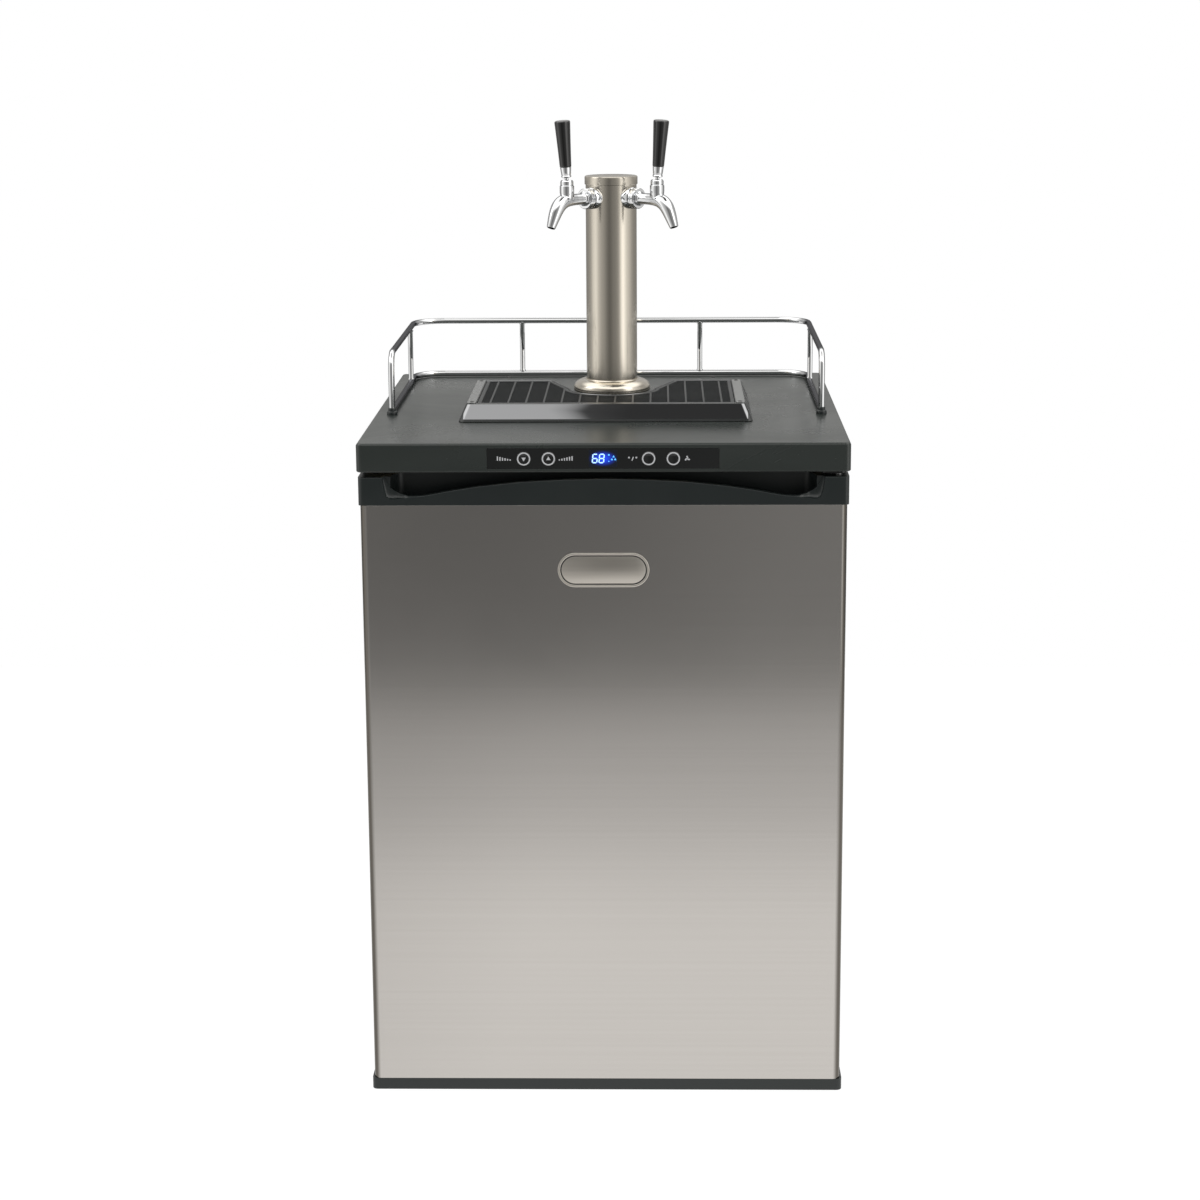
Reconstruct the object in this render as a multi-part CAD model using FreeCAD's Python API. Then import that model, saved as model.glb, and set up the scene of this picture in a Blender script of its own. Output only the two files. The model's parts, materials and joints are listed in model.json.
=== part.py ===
"""Two-tap kegerator: a refrigerated keg cabinet with a hinged door, a moulded worktop with a
control panel, a drip tray, a guard rail and a beer tower with two taps.

Frame: millimetres, +Z up, the front faces -Y, the origin is on the floor under the centre.
"""
import FreeCAD, Part
import math
import os
from FreeCAD import Vector

# ---- driving dimensions ----------------------------------------------------------------------
WIDTH = 606.0                 # over the worktop
DEPTH = 630.0                 # over the worktop
LID_TOP = 860.0               # worktop height above the floor
LID_HEIGHT = 36.0
LID_WALL = 4.0
LID_FRONT_WALL = 6.0
LID_CORNER = 7.0

FRONT = -DEPTH / 2
LID_BOTTOM = LID_TOP - LID_HEIGHT

CABINET_HALF = 300.0          # outer face of a side panel
CABINET_FRONT = FRONT + 53.0  # sealing face behind the door
CABINET_BACK = 300.0
SHEET = 1.5
BASE_Z = 16.0                 # underside of the base plate
TOP_PLATE_Z = 818.0
LINER_HALF = 258.0
LINER_WALL = 2.5
LINER_FLOOR = 62.0
LINER_TOP = 806.0
LINER_BACK = 258.0
HUMP_FRONT = 155.0            # the liner steps over the compressor here
HUMP_TOP = 250.0
MACHINE_FRONT = 172.0         # compressor compartment
MACHINE_TOP = 232.0
LINE_HOLE_R = 28.0            # beer lines pass up into the tower

DOOR_FRONT = FRONT + 2.0
DOOR_BACK = FRONT + 47.0
DOOR_SKIN_HALF = 299.5
DOOR_SKIN_SHEET = 1.2
DOOR_SKIN_CORNER = 9.0
DOOR_BOTTOM = 17.4
DOOR_SKIN_BOTTOM = 32.5
DOOR_SKIN_TOP = 782.6
DOOR_TOP = 817.4
DOOR_LINER = 4.0
GASKET_DEPTH = 5.4
HINGE_X = 289.0
HINGE_Y = FRONT + 24.5
HINGE_PIN_R = 4.0
HINGE_FIT = 0.05              # radial clearance of a pin in its bush
BRACKET_SHEET = 3.0

PANEL_HALF = 142.0            # control panel insert
PANEL_BOTTOM = LID_TOP - 31.5
PANEL_TOP = LID_TOP - 6.5
BUTTON_Z = LID_TOP - 19.4
BUTTON_X = (-97.0, -66.7, 55.8, 86.0)
BUTTON_R = 8.8
BUTTON_GAP = 0.35
DISPLAY_HALF = 17.5

TOWER_X = 6.0
TOWER_Y = 8.0
BOSS_TOP = LID_TOP + 20.0     # the tower stands on a raised boss, level with the drip tray
BOSS_R = 51.5
BOSS_FOOT_R = 53.0
TUBE_R = 33.5
TUBE_WALL = 1.5
FLANGE_R = 51.0
FLANGE_HEIGHT = 16.0
CAP_R = 34.8
CAP_HEIGHT = 11.0
TOWER_TOP = LID_TOP + 302.5

TAP_ANGLES = {"left": 227.2, "right": 317.2}   # directions of the taps, seen from above
SHANK_Z = LID_TOP + 275.0
LEVER_RHO = 82.4              # distance of a lever's pivot from the tower's axis
LEVER_Z = LID_TOP + 295.6
LEVER_LEAN = 5.4              # a closed lever leans outward, in degrees
NECK_R = 9.3
NECK_TOP = LID_TOP + 294.1
BONNET_TOP = LID_TOP + 300.6
HANDLE_START = 22.2           # distances along the lever, from its pivot
HANDLE_END = 81.4

TRAY_FOOT_HALF = 189.0
TRAY_TOP_HALF = 180.0
TRAY_FRONT = -149.0
TRAY_TOP_FRONT = -130.0
TRAY_BACK = 98.0
TRAY_TOP_BACK = 92.0
TRAY_Z = LID_TOP + 0.4
TRAY_TOP = LID_TOP + 21.0
TRAY_NOTCH_R = 54.5           # the tray curves round the tower
NOTCH_FLARE = 0.33            # and its notch widens by this much towards the back
GRILLE_HALF = 166.0
GRILLE_FRONT = -119.0
GRILLE_BACK = 87.0
GRILLE_NOTCH_R = 58.0
GRILLE_THICK = 4.0
GRILLE_GAP = 0.4

RAIL_R = 4.0                  # guard rail tube
RAIL_HALF = 280.0
RAIL_BACK = 285.0
RAIL_FRONT = -79.0
RAIL_Z = LID_TOP + 80.0
RAIL_CORNER = 42.0
RAIL_FRONT_BEND = 22.0
RAIL_BASE_Z = LID_TOP + 4.6
RAIL_FOOT_HEIGHT = 9.0


# ---- helpers ---------------------------------------------------------------------------------
def box(x0, x1, y0, y1, z0, z1):
    return Part.makeBox(x1 - x0, y1 - y0, z1 - z0, Vector(x0, y0, z0))


def cylinder(radius, start, end):
    start = Vector(*start)
    axis = Vector(*end) - start
    return Part.makeCylinder(radius, axis.Length, start, axis)


def upright(radius, x, y, z0, z1):
    return cylinder(radius, (x, y, z0), (x, y, z1))


def fuse(shapes):
    first, *rest = shapes
    return first.multiFuse(rest).removeSplitter() if rest else first


def edges_where(shape, test):
    """Edges whose mid point passes a test."""
    found = []
    for edge in shape.Edges:
        middle = edge.valueAt((edge.FirstParameter + edge.LastParameter) / 2)
        if test(middle, edge):
            found.append(edge)
    return found


def is_upright(edge):
    direction = edge.tangentAt(edge.FirstParameter)
    return edge.Curve.TypeId == "Part::GeomLine" and abs(direction.z) > 0.999


def round_upright(shape, radius, test=lambda middle: True):
    return shape.makeFillet(radius, edges_where(shape, lambda m, e: is_upright(e) and test(m)))


def rounded_plate(half_x, y0, y1, z0, z1, radius):
    """A block with four rounded upright edges, centred on X = 0."""
    return round_upright(box(-half_x, half_x, y0, y1, z0, z1), radius)


def outline(points):
    corners = [Vector(*p) for p in points]
    return Part.Face(Part.makePolygon(corners + corners[:1]))


def revolve(points, centre=(0.0, 0.0)):
    """Turn (radius, z) points about an upright axis."""
    face = outline([(r, 0.0, z) for r, z in points])
    solid = face.revolve(Vector(0, 0, 0), Vector(0, 0, 1), 360)
    solid.translate(Vector(centre[0], centre[1], 0))
    return solid


def mirrored(shape):
    return shape.mirror(Vector(0, 0, 0), Vector(1, 0, 0))


def both_sides(shape):
    return Part.makeCompound([shape, mirrored(shape)])


# ---- cabinet ---------------------------------------------------------------------------------
def side_panel(side):
    inner = CABINET_HALF - SHEET
    x0, x1 = (inner, CABINET_HALF) if side > 0 else (-CABINET_HALF, -inner)
    return box(x0, x1, CABINET_FRONT, CABINET_BACK, BASE_Z + 2, LID_BOTTOM)


VENT_HALF = 150.0
VENT_PITCH = 16.0
VENT_COUNT = 11
GROMMET_X = 170.0
GROMMET_Z = 700.0
GROMMET_R = 11.0
GROMMET_BORE_R = 6.0
INLET_X = -225.0
INLET_Z = 70.0
INLET_SIZE = (28.0, 22.0)     # width and height of the power inlet


def back_panel():
    half = CABINET_HALF - SHEET
    panel = box(-half, half, CABINET_BACK - SHEET, CABINET_BACK, BASE_Z + 2, LID_BOTTOM)
    slots = []
    for i in range(VENT_COUNT):
        z = 50 + i * VENT_PITCH
        slots.append(box(-VENT_HALF, VENT_HALF, CABINET_BACK - 5, CABINET_BACK + 5, z, z + 5))
    slots.append(cylinder(GROMMET_R, (GROMMET_X, 290, GROMMET_Z), (GROMMET_X, 310, GROMMET_Z)))
    slots.append(inlet_block(CABINET_BACK - 10, CABINET_BACK + 10, 0.0))
    return panel.cut(slots)


def inlet_block(y0, y1, shrink):
    half_x = INLET_SIZE[0] / 2 - shrink
    half_z = INLET_SIZE[1] / 2 - shrink
    return box(INLET_X - half_x, INLET_X + half_x, y0, y1, INLET_Z - half_z, INLET_Z + half_z)


def power_inlet():
    """Panel inlet with a socket recess and three contact blades."""
    shell = inlet_block(270, CABINET_BACK, 0.0)
    shell = shell.fuse(inlet_block(CABINET_BACK, CABINET_BACK + 2, -2.0))
    shell = shell.cut(inlet_block(278, CABINET_BACK + 3, 3.0))
    blades = [box(INLET_X + dx - 1, INLET_X + dx + 1, 276, 294, INLET_Z - 3, INLET_Z + 3)
              for dx in (-6.0, 0.0, 6.0)]
    return fuse([shell] + blades)


def base_plate():
    half = CABINET_HALF
    return box(-half, half, CABINET_FRONT, CABINET_BACK, BASE_Z, BASE_Z + 2)


def top_plate():
    half = CABINET_HALF - SHEET
    plate = box(-half, half, CABINET_FRONT, CABINET_BACK - SHEET, TOP_PLATE_Z, TOP_PLATE_Z + SHEET)
    return plate.cut(line_hole(TOP_PLATE_Z - 5, LID_TOP))


def line_hole(z0, z1):
    return upright(LINE_HOLE_R, TOWER_X, TOWER_Y, z0, z1)


def grommet_hole(y0, y1, radius):
    return cylinder(radius, (GROMMET_X, y0, GROMMET_Z), (GROMMET_X, y1, GROMMET_Z))


def stepped(half, front, back, floor, top, step_y, step_z):
    """A block with its lower back corner cut away, for the liner over the compressor."""
    block = box(-half, half, front, back, floor, top)
    return block.cut(box(-half - 1, half + 1, step_y, back + 1, floor - 1, step_z))


def liner_outside():
    return stepped(LINER_HALF, CABINET_FRONT, LINER_BACK, LINER_FLOOR, LINER_TOP,
                   HUMP_FRONT, HUMP_TOP)


def inner_liner():
    w = LINER_WALL
    half = LINER_HALF - w
    flange = box(-(CABINET_HALF - SHEET), CABINET_HALF - SHEET, CABINET_FRONT, CABINET_FRONT + 2,
                 BASE_Z + 2, TOP_PLATE_Z)
    hollow = stepped(half, CABINET_FRONT - 1, LINER_BACK - w, LINER_FLOOR + w, LINER_TOP - w,
                     HUMP_FRONT - w, HUMP_TOP + w)
    liner = liner_outside().fuse(flange).cut(hollow)
    liner = liner.cut(line_hole(LINER_TOP - 10, LINER_TOP + 10))
    return liner.cut(grommet_hole(LINER_BACK - 10, LINER_BACK + 10, GROMMET_R))


def cabinet_foam():
    half = CABINET_HALF - SHEET
    back = CABINET_BACK - SHEET
    block = box(-half, half, CABINET_FRONT + 2, back, BASE_Z + 2, TOP_PLATE_Z)
    machine = box(-half - 1, half + 1, MACHINE_FRONT, back + 1, BASE_Z, MACHINE_TOP)
    block = block.cut([liner_outside(), machine, line_hole(LINER_TOP - 5, TOP_PLATE_Z + 5)])
    return block.cut(grommet_hole(LINER_BACK - 5, CABINET_BACK, GROMMET_R))


def gas_line_grommet():
    sleeve = grommet_hole(LINER_BACK - LINER_WALL, CABINET_BACK, GROMMET_R)
    lip = grommet_hole(CABINET_BACK, CABINET_BACK + 3, GROMMET_R + 5)
    inner_lip = grommet_hole(LINER_BACK - LINER_WALL - 3, LINER_BACK - LINER_WALL, GROMMET_R + 5)
    body = fuse([sleeve, lip, inner_lip])
    return body.cut(grommet_hole(LINER_BACK - 20, CABINET_BACK + 10, GROMMET_BORE_R))


KEG_PLATE_HALF = 245.0
KEG_PLATE_SHEET = 2.0


def keg_floor_plate():
    floor = LINER_FLOOR + LINER_WALL
    return rounded_plate(KEG_PLATE_HALF, CABINET_FRONT + 10, HUMP_FRONT - 8,
                         floor, floor + KEG_PLATE_SHEET, 12)


PLATE_HALF = 190.0             # cooling plate on the back of the compartment
PLATE_BOTTOM = 300.0
PLATE_TOP = 620.0
PLATE_STANDOFF = 2.5
CHANNEL_HALF = 170.0
CHANNEL_WIDTH = 8.0
CHANNEL_PITCH = 34


def evaporator_plate():
    """Roll-bonded plate with raised coolant channels, on the back of the compartment."""
    back = LINER_BACK - LINER_WALL
    front = back - PLATE_STANDOFF - SHEET
    plate = box(-PLATE_HALF, PLATE_HALF, front, back - PLATE_STANDOFF, PLATE_BOTTOM, PLATE_TOP)
    runs = [box(-CHANNEL_HALF, CHANNEL_HALF, front - 3, front, z, z + CHANNEL_WIDTH)
            for z in range(325, 600, CHANNEL_PITCH)]
    feet = [box(x - 8, x + 8, back - PLATE_STANDOFF, back, z - 8, z + 8)
            for x in (10 - PLATE_HALF, PLATE_HALF - 10)
            for z in (PLATE_BOTTOM + 15, PLATE_TOP - 15)]
    return fuse([plate] + runs + feet)


FAN_Z = 705.0
FAN_Y = 236.0
FAN_R = 42.0
FAN_HOUSING_HALF = 56.0
FAN_PIN_R = 2.0
FAN_BLADES = 5
BLADE_PITCH = 38.0             # twist of a blade, in degrees


def fan_axis(radius, y0, y1):
    return cylinder(radius, (0, y0, FAN_Z), (0, y1, FAN_Z))


def fan_housing():
    half = FAN_HOUSING_HALF
    front = FAN_Y - 15
    back = LINER_BACK - LINER_WALL
    frame = box(-half, half, front, back, FAN_Z - half, FAN_Z + half)
    frame = frame.cut(fan_axis(FAN_R + 3, front - 1, back - 2))
    stator = fan_axis(13, FAN_Y + 9, back - 2)
    pin = fan_axis(FAN_PIN_R, FAN_Y - 8, FAN_Y + 9)
    return fuse([frame, stator, pin])


def fan_impeller():
    hub = fan_axis(14, FAN_Y - 9, FAN_Y + 8)
    blades = []
    for i in range(FAN_BLADES):
        blade = box(-1, 1, -8, 8, 12, FAN_R)
        blade.rotate(Vector(0, 0, 0), Vector(0, 0, 1), BLADE_PITCH)
        blade.rotate(Vector(0, 0, 0), Vector(0, 1, 0), i * 360 / FAN_BLADES)
        blade.translate(Vector(0, FAN_Y, FAN_Z))
        blades.append(blade)
    return fuse([hub] + blades).cut(fan_axis(FAN_PIN_R + 0.05, FAN_Y - 20, FAN_Y + 20))


COMPRESSOR_X = 70.0
COMPRESSOR_Y = 236.0
COMPRESSOR_R = 50.0
COMPRESSOR_TOP = 165.0
COMPRESSOR_FOOT_Z = 34.0       # its mounting plate, on four rubber mounts
COMPRESSOR_FOOT_SHEET = 3.0
MOUNT_R = 9.0
MOUNT_OFFSETS = [(-70.0, -38.0), (70.0, -38.0), (-70.0, 38.0), (70.0, 38.0)]


def compressor():
    x, y = COMPRESSOR_X, COMPRESSOR_Y
    foot_top = COMPRESSOR_FOOT_Z + COMPRESSOR_FOOT_SHEET
    shell = upright(COMPRESSOR_R, x, y, foot_top + 5, COMPRESSOR_TOP)
    shell = shell.makeFillet(22, edges_where(shell, lambda m, e: e.Closed))
    foot = box(x - 82, x + 82, y - 50, y + 50, COMPRESSOR_FOOT_Z, foot_top)
    collar = upright(30, x, y, foot_top, foot_top + 13)
    terminal = box(x - 74, x - 45, y - 20, y + 20, 80, 125)
    return fuse([shell, foot, collar, terminal])


def compressor_mounts():
    mounts = []
    for dx, dy in MOUNT_OFFSETS:
        mounts.append(upright(MOUNT_R, COMPRESSOR_X + dx, COMPRESSOR_Y + dy,
                              BASE_Z + 2, COMPRESSOR_FOOT_Z))
    return Part.makeCompound(mounts)


FOOT_X = (-245.0, 245.0)
FOOT_Y = (-225.0, 265.0)
FOOT_R = 19.0
FOOT_HEIGHT = 9.0
FOOT_STEM_R = 5.0


def levelling_feet():
    feet = []
    for x in FOOT_X:
        for y in FOOT_Y:
            pad = upright(FOOT_R, x, y, 0, FOOT_HEIGHT)
            pad = pad.makeFillet(2.0, edges_where(pad, lambda m, e: e.Closed and m.z > 5))
            feet.append(pad.fuse(upright(FOOT_STEM_R, x, y, FOOT_HEIGHT, BASE_Z)))
    return Part.makeCompound(feet)


# ---- worktop ---------------------------------------------------------------------------------
BOARD_Y = FRONT + 12.0
BOARD_HALF = 118.0
BOARD_THICK = 1.6
LID_SCREWS = [(-146.0, 268.0), (146.0, 268.0)]


def panel_block(grow, y0, y1):
    return box(-PANEL_HALF - grow, PANEL_HALF + grow, y0, y1, PANEL_BOTTOM - grow, PANEL_TOP + grow)


def button_bore(x, radius, y0, y1):
    return cylinder(radius, (x, y0, BUTTON_Z), (x, y1, BUTTON_Z))


def lid():
    half = WIDTH / 2
    block = rounded_plate(half, FRONT, -FRONT, LID_BOTTOM, LID_TOP, LID_CORNER)
    top_edges = edges_where(block, lambda m, e: m.z > LID_TOP - 0.01)
    block = block.makeFillet(4.0, top_edges)
    block = block.makeChamfer(1.2, edges_where(block, lambda m, e: m.z < LID_BOTTOM + 0.01))
    boss = revolve([(0, LID_TOP - 1), (BOSS_FOOT_R, LID_TOP - 1), (BOSS_FOOT_R, LID_TOP),
                    (BOSS_R, BOSS_TOP - 1), (BOSS_R - 1, BOSS_TOP), (0, BOSS_TOP)],
                   (TOWER_X, TOWER_Y))
    cavity = box(-half + LID_WALL, half - LID_WALL, FRONT + LID_FRONT_WALL, -FRONT - LID_WALL,
                 LID_BOTTOM - 1, LID_TOP - 5)
    cuts = [cavity, line_hole(LID_TOP - 10, BOSS_TOP + 1), panel_block(0.3, FRONT - 1, FRONT + 2.3)]
    for x in BUTTON_X:
        cuts.append(button_bore(x, BUTTON_R + BUTTON_GAP, FRONT - 1, FRONT + 10))
    for x, y in LID_SCREWS:
        cuts.append(upright(2.0, x, y, LID_TOP - 10, LID_TOP + 1))
    return block.fuse(boss).cut(cuts)


def lid_insulation():
    half = WIDTH / 2 - LID_WALL - 1.5
    slab = box(-half, half, FRONT + 92, CABINET_BACK - SHEET - 1, TOP_PLATE_Z + SHEET, LID_TOP - 5)
    posts = [upright(4, x, y, LID_TOP - 20, LID_TOP) for x, y in LID_SCREWS]
    return slab.cut([line_hole(TOP_PLATE_Z, LID_TOP)] + posts)


def lid_screws():
    screws = []
    for x, y in LID_SCREWS:
        head = upright(3.6, x, y, LID_TOP, LID_TOP + 1.8)
        head = head.makeFillet(1.2, edges_where(head, lambda m, e: e.Closed and m.z > LID_TOP + 1))
        shank = upright(1.9, x, y, LID_TOP - 16, LID_TOP)
        screws.append(head.fuse(shank))
    return Part.makeCompound(screws)


def display_block(shrink, y0, y1):
    half = DISPLAY_HALF - shrink
    return box(-half, half, y0, y1, PANEL_BOTTOM + 2 + shrink, PANEL_TOP - 2 - shrink)


def control_bezel():
    plate = panel_block(0.0, FRONT + 0.3, FRONT + 2.3)
    corners = edges_where(plate, lambda m, e: abs(e.tangentAt(e.FirstParameter).y) > 0.99)
    plate = plate.makeFillet(2.5, corners)
    bores = [button_bore(x, BUTTON_R + BUTTON_GAP, FRONT - 1, FRONT + 5) for x in BUTTON_X]
    return plate.cut(bores + [display_block(0.0, FRONT - 1, FRONT + 5)])


def display_window():
    return display_block(0.1, FRONT + 0.1, FRONT + 2.2)


def control_board():
    """Printed board with four switches under the buttons and the display module."""
    board = box(-BOARD_HALF, BOARD_HALF, BOARD_Y, BOARD_Y + BOARD_THICK,
                PANEL_BOTTOM, PANEL_TOP - 1)
    switches = [box(x - 3, x + 3, BOARD_Y - BOARD_THICK, BOARD_Y, BUTTON_Z - 3, BUTTON_Z + 3)
                for x in BUTTON_X]
    module = box(-16, 16, BOARD_Y - 5, BOARD_Y, PANEL_BOTTOM + 3, PANEL_TOP - 3)
    return fuse([board, module] + switches)


def button(x):
    cap = button_bore(x, BUTTON_R, FRONT, FRONT + 7)
    cap = cap.makeFillet(0.6, edges_where(cap, lambda m, e: e.Closed and m.y < FRONT + 1))
    stem = button_bore(x, 3.0, FRONT + 7, BOARD_Y - 2.8)
    return cap.fuse(stem)


# ---- door ------------------------------------------------------------------------------------
def door_block(shrink, z0, z1):
    half = DOOR_SKIN_HALF - shrink
    block = box(-half, half, DOOR_FRONT + shrink, DOOR_BACK - DOOR_LINER, z0, z1)
    return round_upright(block, DOOR_SKIN_CORNER - shrink, lambda m: m.y < DOOR_FRONT + 5)


def door_skin():
    inside = door_block(DOOR_SKIN_SHEET, DOOR_SKIN_BOTTOM, DOOR_SKIN_TOP)
    return door_block(0.0, DOOR_SKIN_BOTTOM, DOOR_SKIN_TOP).cut(inside)


def door_foam():
    return door_block(DOOR_SKIN_SHEET, DOOR_SKIN_BOTTOM, DOOR_SKIN_TOP)


def door_liner():
    """Inner door panel with a raised pan that stiffens it."""
    back = DOOR_BACK
    panel = box(-298, 298, back - DOOR_LINER, back, DOOR_BOTTOM + 2, DOOR_TOP - 2)
    raised = rounded_y_block(238, 55, 780, back, back + 4.4, 25)
    return panel.fuse(raised)


def rounded_y_block(half_x, z0, z1, y0, y1, radius):
    block = box(-half_x, half_x, y0, y1, z0, z1)
    sides = edges_where(block, lambda m, e: abs(e.tangentAt(e.FirstParameter).y) > 0.99)
    return block.makeFillet(radius, sides)


def door_gasket():
    y0 = DOOR_BACK
    y1 = DOOR_BACK + GASKET_DEPTH
    ring = rounded_y_block(281, DOOR_BOTTOM + 8, DOOR_TOP - 8, y0, y1, 8)
    return ring.cut(rounded_y_block(264, DOOR_BOTTOM + 25, DOOR_TOP - 25, y0 - 1, y1 + 1, 4))


def hinge_bore(z0, z1, radius):
    return upright(radius, HINGE_X, HINGE_Y, z0, z1)


RECESS_HALF = 262.0
RECESS_FRONT = DOOR_FRONT + 8.0
RECESS_BACK = DOOR_BACK - DOOR_LINER - 5.0
RECESS_FLOOR = 789.0
LIP_CURVE = [(257.0, 800.6), (241.7, 795.6), (225.7, 796.1), (188.5, 801.7), (151.5, 807.2),
             (102.0, 812.1), (50.0, 814.8)]


def lip_scoop():
    """The front lip dips to a finger scoop near each end and is highest in the middle."""
    right = [Vector(x, 0, z) for x, z in LIP_CURVE]
    left = [Vector(-x, 0, z) for x, z in reversed(LIP_CURVE)]
    curve = Part.BSplineCurve()
    curve.interpolate(right + [Vector(0, 0, 815.6)] + left)
    top = DOOR_TOP + 5
    corner_x = 267.0
    sides = [left[-1], Vector(-corner_x, 0, DOOR_TOP), Vector(-corner_x, 0, top),
             Vector(corner_x, 0, top), Vector(corner_x, 0, DOOR_TOP), right[0]]
    wire = Part.Wire([curve.toShape()] + list(Part.makePolygon(sides).Edges))
    prism = Part.Face(wire).extrude(Vector(0, RECESS_FRONT - DOOR_FRONT + 4, 0))
    prism.translate(Vector(0, DOOR_FRONT - 2, 0))
    return prism


def door_top_cap():
    """Black plastic cap with the finger recess that opens the door."""
    cap = box(-301.5, 301.5, DOOR_FRONT, DOOR_BACK - DOOR_LINER, DOOR_SKIN_TOP, DOOR_TOP)
    cap = round_upright(cap, 6, lambda m: m.y < DOOR_FRONT + 1)
    pocket = box(-RECESS_HALF, RECESS_HALF, RECESS_FRONT, RECESS_BACK, RECESS_FLOOR, DOOR_TOP + 1)
    pocket = round_upright(pocket, 9)
    bore = hinge_bore(DOOR_TOP - 14, DOOR_TOP + 1, HINGE_PIN_R + HINGE_FIT)
    return cap.cut([pocket, lip_scoop(), bore])


def door_bottom_cap():
    cap = box(-302, 302, DOOR_FRONT, DOOR_BACK - DOOR_LINER, DOOR_BOTTOM, DOOR_SKIN_BOTTOM)
    cap = round_upright(cap, 7, lambda m: m.y < DOOR_FRONT + 1)
    return cap.cut(hinge_bore(DOOR_BOTTOM - 1, DOOR_SKIN_BOTTOM - 2, HINGE_PIN_R + HINGE_FIT))


BADGE_HALF = 56.5
BADGE_TOP = LID_TOP - 137.0
BADGE_BOTTOM = LID_TOP - 180.0


def badge_stadium(shrink, y0, y1):
    radius = (BADGE_TOP - BADGE_BOTTOM) / 2 - 0.01
    return rounded_y_block(BADGE_HALF - shrink, BADGE_BOTTOM + shrink, BADGE_TOP - shrink,
                           y0, y1, radius - shrink)


def door_badge():
    """Blank oval plate with a raised rim."""
    plate = badge_stadium(0.0, FRONT, DOOR_FRONT)
    groove = badge_stadium(2.8, FRONT - 1, FRONT + 1.2).cut(badge_stadium(4.8, FRONT - 2, DOOR_FRONT))
    return plate.cut(groove)


def hinge_bracket_top():
    z0 = TOP_PLATE_Z + SHEET
    return round_upright(box(268, 297, HINGE_Y - 10, FRONT + 85, z0, z0 + BRACKET_SHEET), 5)


def hinge_bracket_bottom():
    z1 = BASE_Z
    return round_upright(box(271, 299, HINGE_Y - 10, FRONT + 85, z1 - BRACKET_SHEET, z1), 5)


def hinge_pins():
    top = hinge_bore(DOOR_TOP - 12, TOP_PLATE_Z + SHEET, HINGE_PIN_R)
    bottom = hinge_bore(BASE_Z, DOOR_SKIN_BOTTOM - 4, HINGE_PIN_R)
    return Part.makeCompound([top, bottom])


# ---- drip tray -------------------------------------------------------------------------------
def rounded_rectangle(half, y0, y1, z, radius):
    """Closed wire of four sides joined by quarter arcs."""
    face = round_upright(box(-half, half, y0, y1, z, z + 1), radius)
    for candidate in face.Faces:
        if abs(candidate.CenterOfMass.z - z) < 0.001:
            return candidate.OuterWire
    return None


def tower_column(radius, z0, z1):
    return upright(radius, TOWER_X, TOWER_Y, z0, z1)


def tower_notch(radius, z0, z1):
    """Room for the tower: a round front that opens towards the back."""
    back = TRAY_BACK + 5
    mouth = radius + NOTCH_FLARE * (back - TOWER_Y)
    corners = [(-radius, TOWER_Y), (radius, TOWER_Y), (mouth, back), (-mouth, back),
               (-radius, TOWER_Y)]
    outline = Part.makePolygon([Vector(TOWER_X + x, y, z0) for x, y in corners])
    wedge = Part.Face(outline).extrude(Vector(0, 0, z1 - z0))
    return wedge.fuse(tower_column(radius, z0, z1))


def drip_tray():
    """Sloping sides, a sump below and a ledge that carries the grille."""
    foot = rounded_rectangle(TRAY_FOOT_HALF, TRAY_FRONT, TRAY_BACK, TRAY_Z, 8)
    rim = rounded_rectangle(TRAY_TOP_HALF, TRAY_TOP_FRONT, TRAY_TOP_BACK, TRAY_TOP, 8)
    body = Part.makeLoft([foot, rim], True, True)
    ledge = TRAY_TOP - GRILLE_THICK - 0.3 - GRILLE_GAP
    seat = grille_outline(0.5, ledge, TRAY_TOP + 1)
    sump = grille_outline(-7.0, TRAY_Z + 2.6, TRAY_TOP)
    notch = tower_notch(TRAY_NOTCH_R, TRAY_Z - 1, TRAY_TOP + 1)
    return body.cut([seat, sump, notch])


def grille_outline(grow, z0, z1):
    block = box(-GRILLE_HALF - grow, GRILLE_HALF + grow, GRILLE_FRONT - grow, GRILLE_BACK + grow,
                z0, z1)
    return block.cut(tower_notch(GRILLE_NOTCH_R - grow, z0 - 1, z1 + 1))


GRILLE_RIB_PITCH = 23.0
GRILLE_RIB = 4.0


def drip_grille():
    z1 = TRAY_TOP - 0.3
    z0 = z1 - GRILLE_THICK
    plate = grille_outline(0.0, z0, z1)
    holes = []
    bays = 14
    for i in range(bays):
        x = (i - (bays - 1) / 2) * GRILLE_RIB_PITCH
        half = (GRILLE_RIB_PITCH - GRILLE_RIB) / 2
        for j in range(6):
            y0 = GRILLE_FRONT + 6 + j * 33
            holes.append(box(x - half, x + half, y0, y0 + 29, z0 - 1, z1 + 1))
    keep = grille_outline(-6.0, z0 - 2, z1 + 2)
    return plate.cut(Part.makeCompound(holes).common(keep))


def tray_trims():
    """A metal strip along each side of the tray's rim."""
    strip = box(GRILLE_HALF + 1.5, TRAY_TOP_HALF - 1, TRAY_TOP_FRONT + 5, TRAY_TOP_BACK - 5,
                TRAY_TOP, TRAY_TOP + 1.0)
    return both_sides(round_upright(strip, 4))


# ---- guard rail ------------------------------------------------------------------------------
def arc(centre, start, middle, end):
    base = Vector(*centre)
    return Part.Arc(base + Vector(*start), base + Vector(*middle), base + Vector(*end)).toShape()


def line(start, end):
    return Part.LineSegment(Vector(*start), Vector(*end)).toShape()


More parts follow.
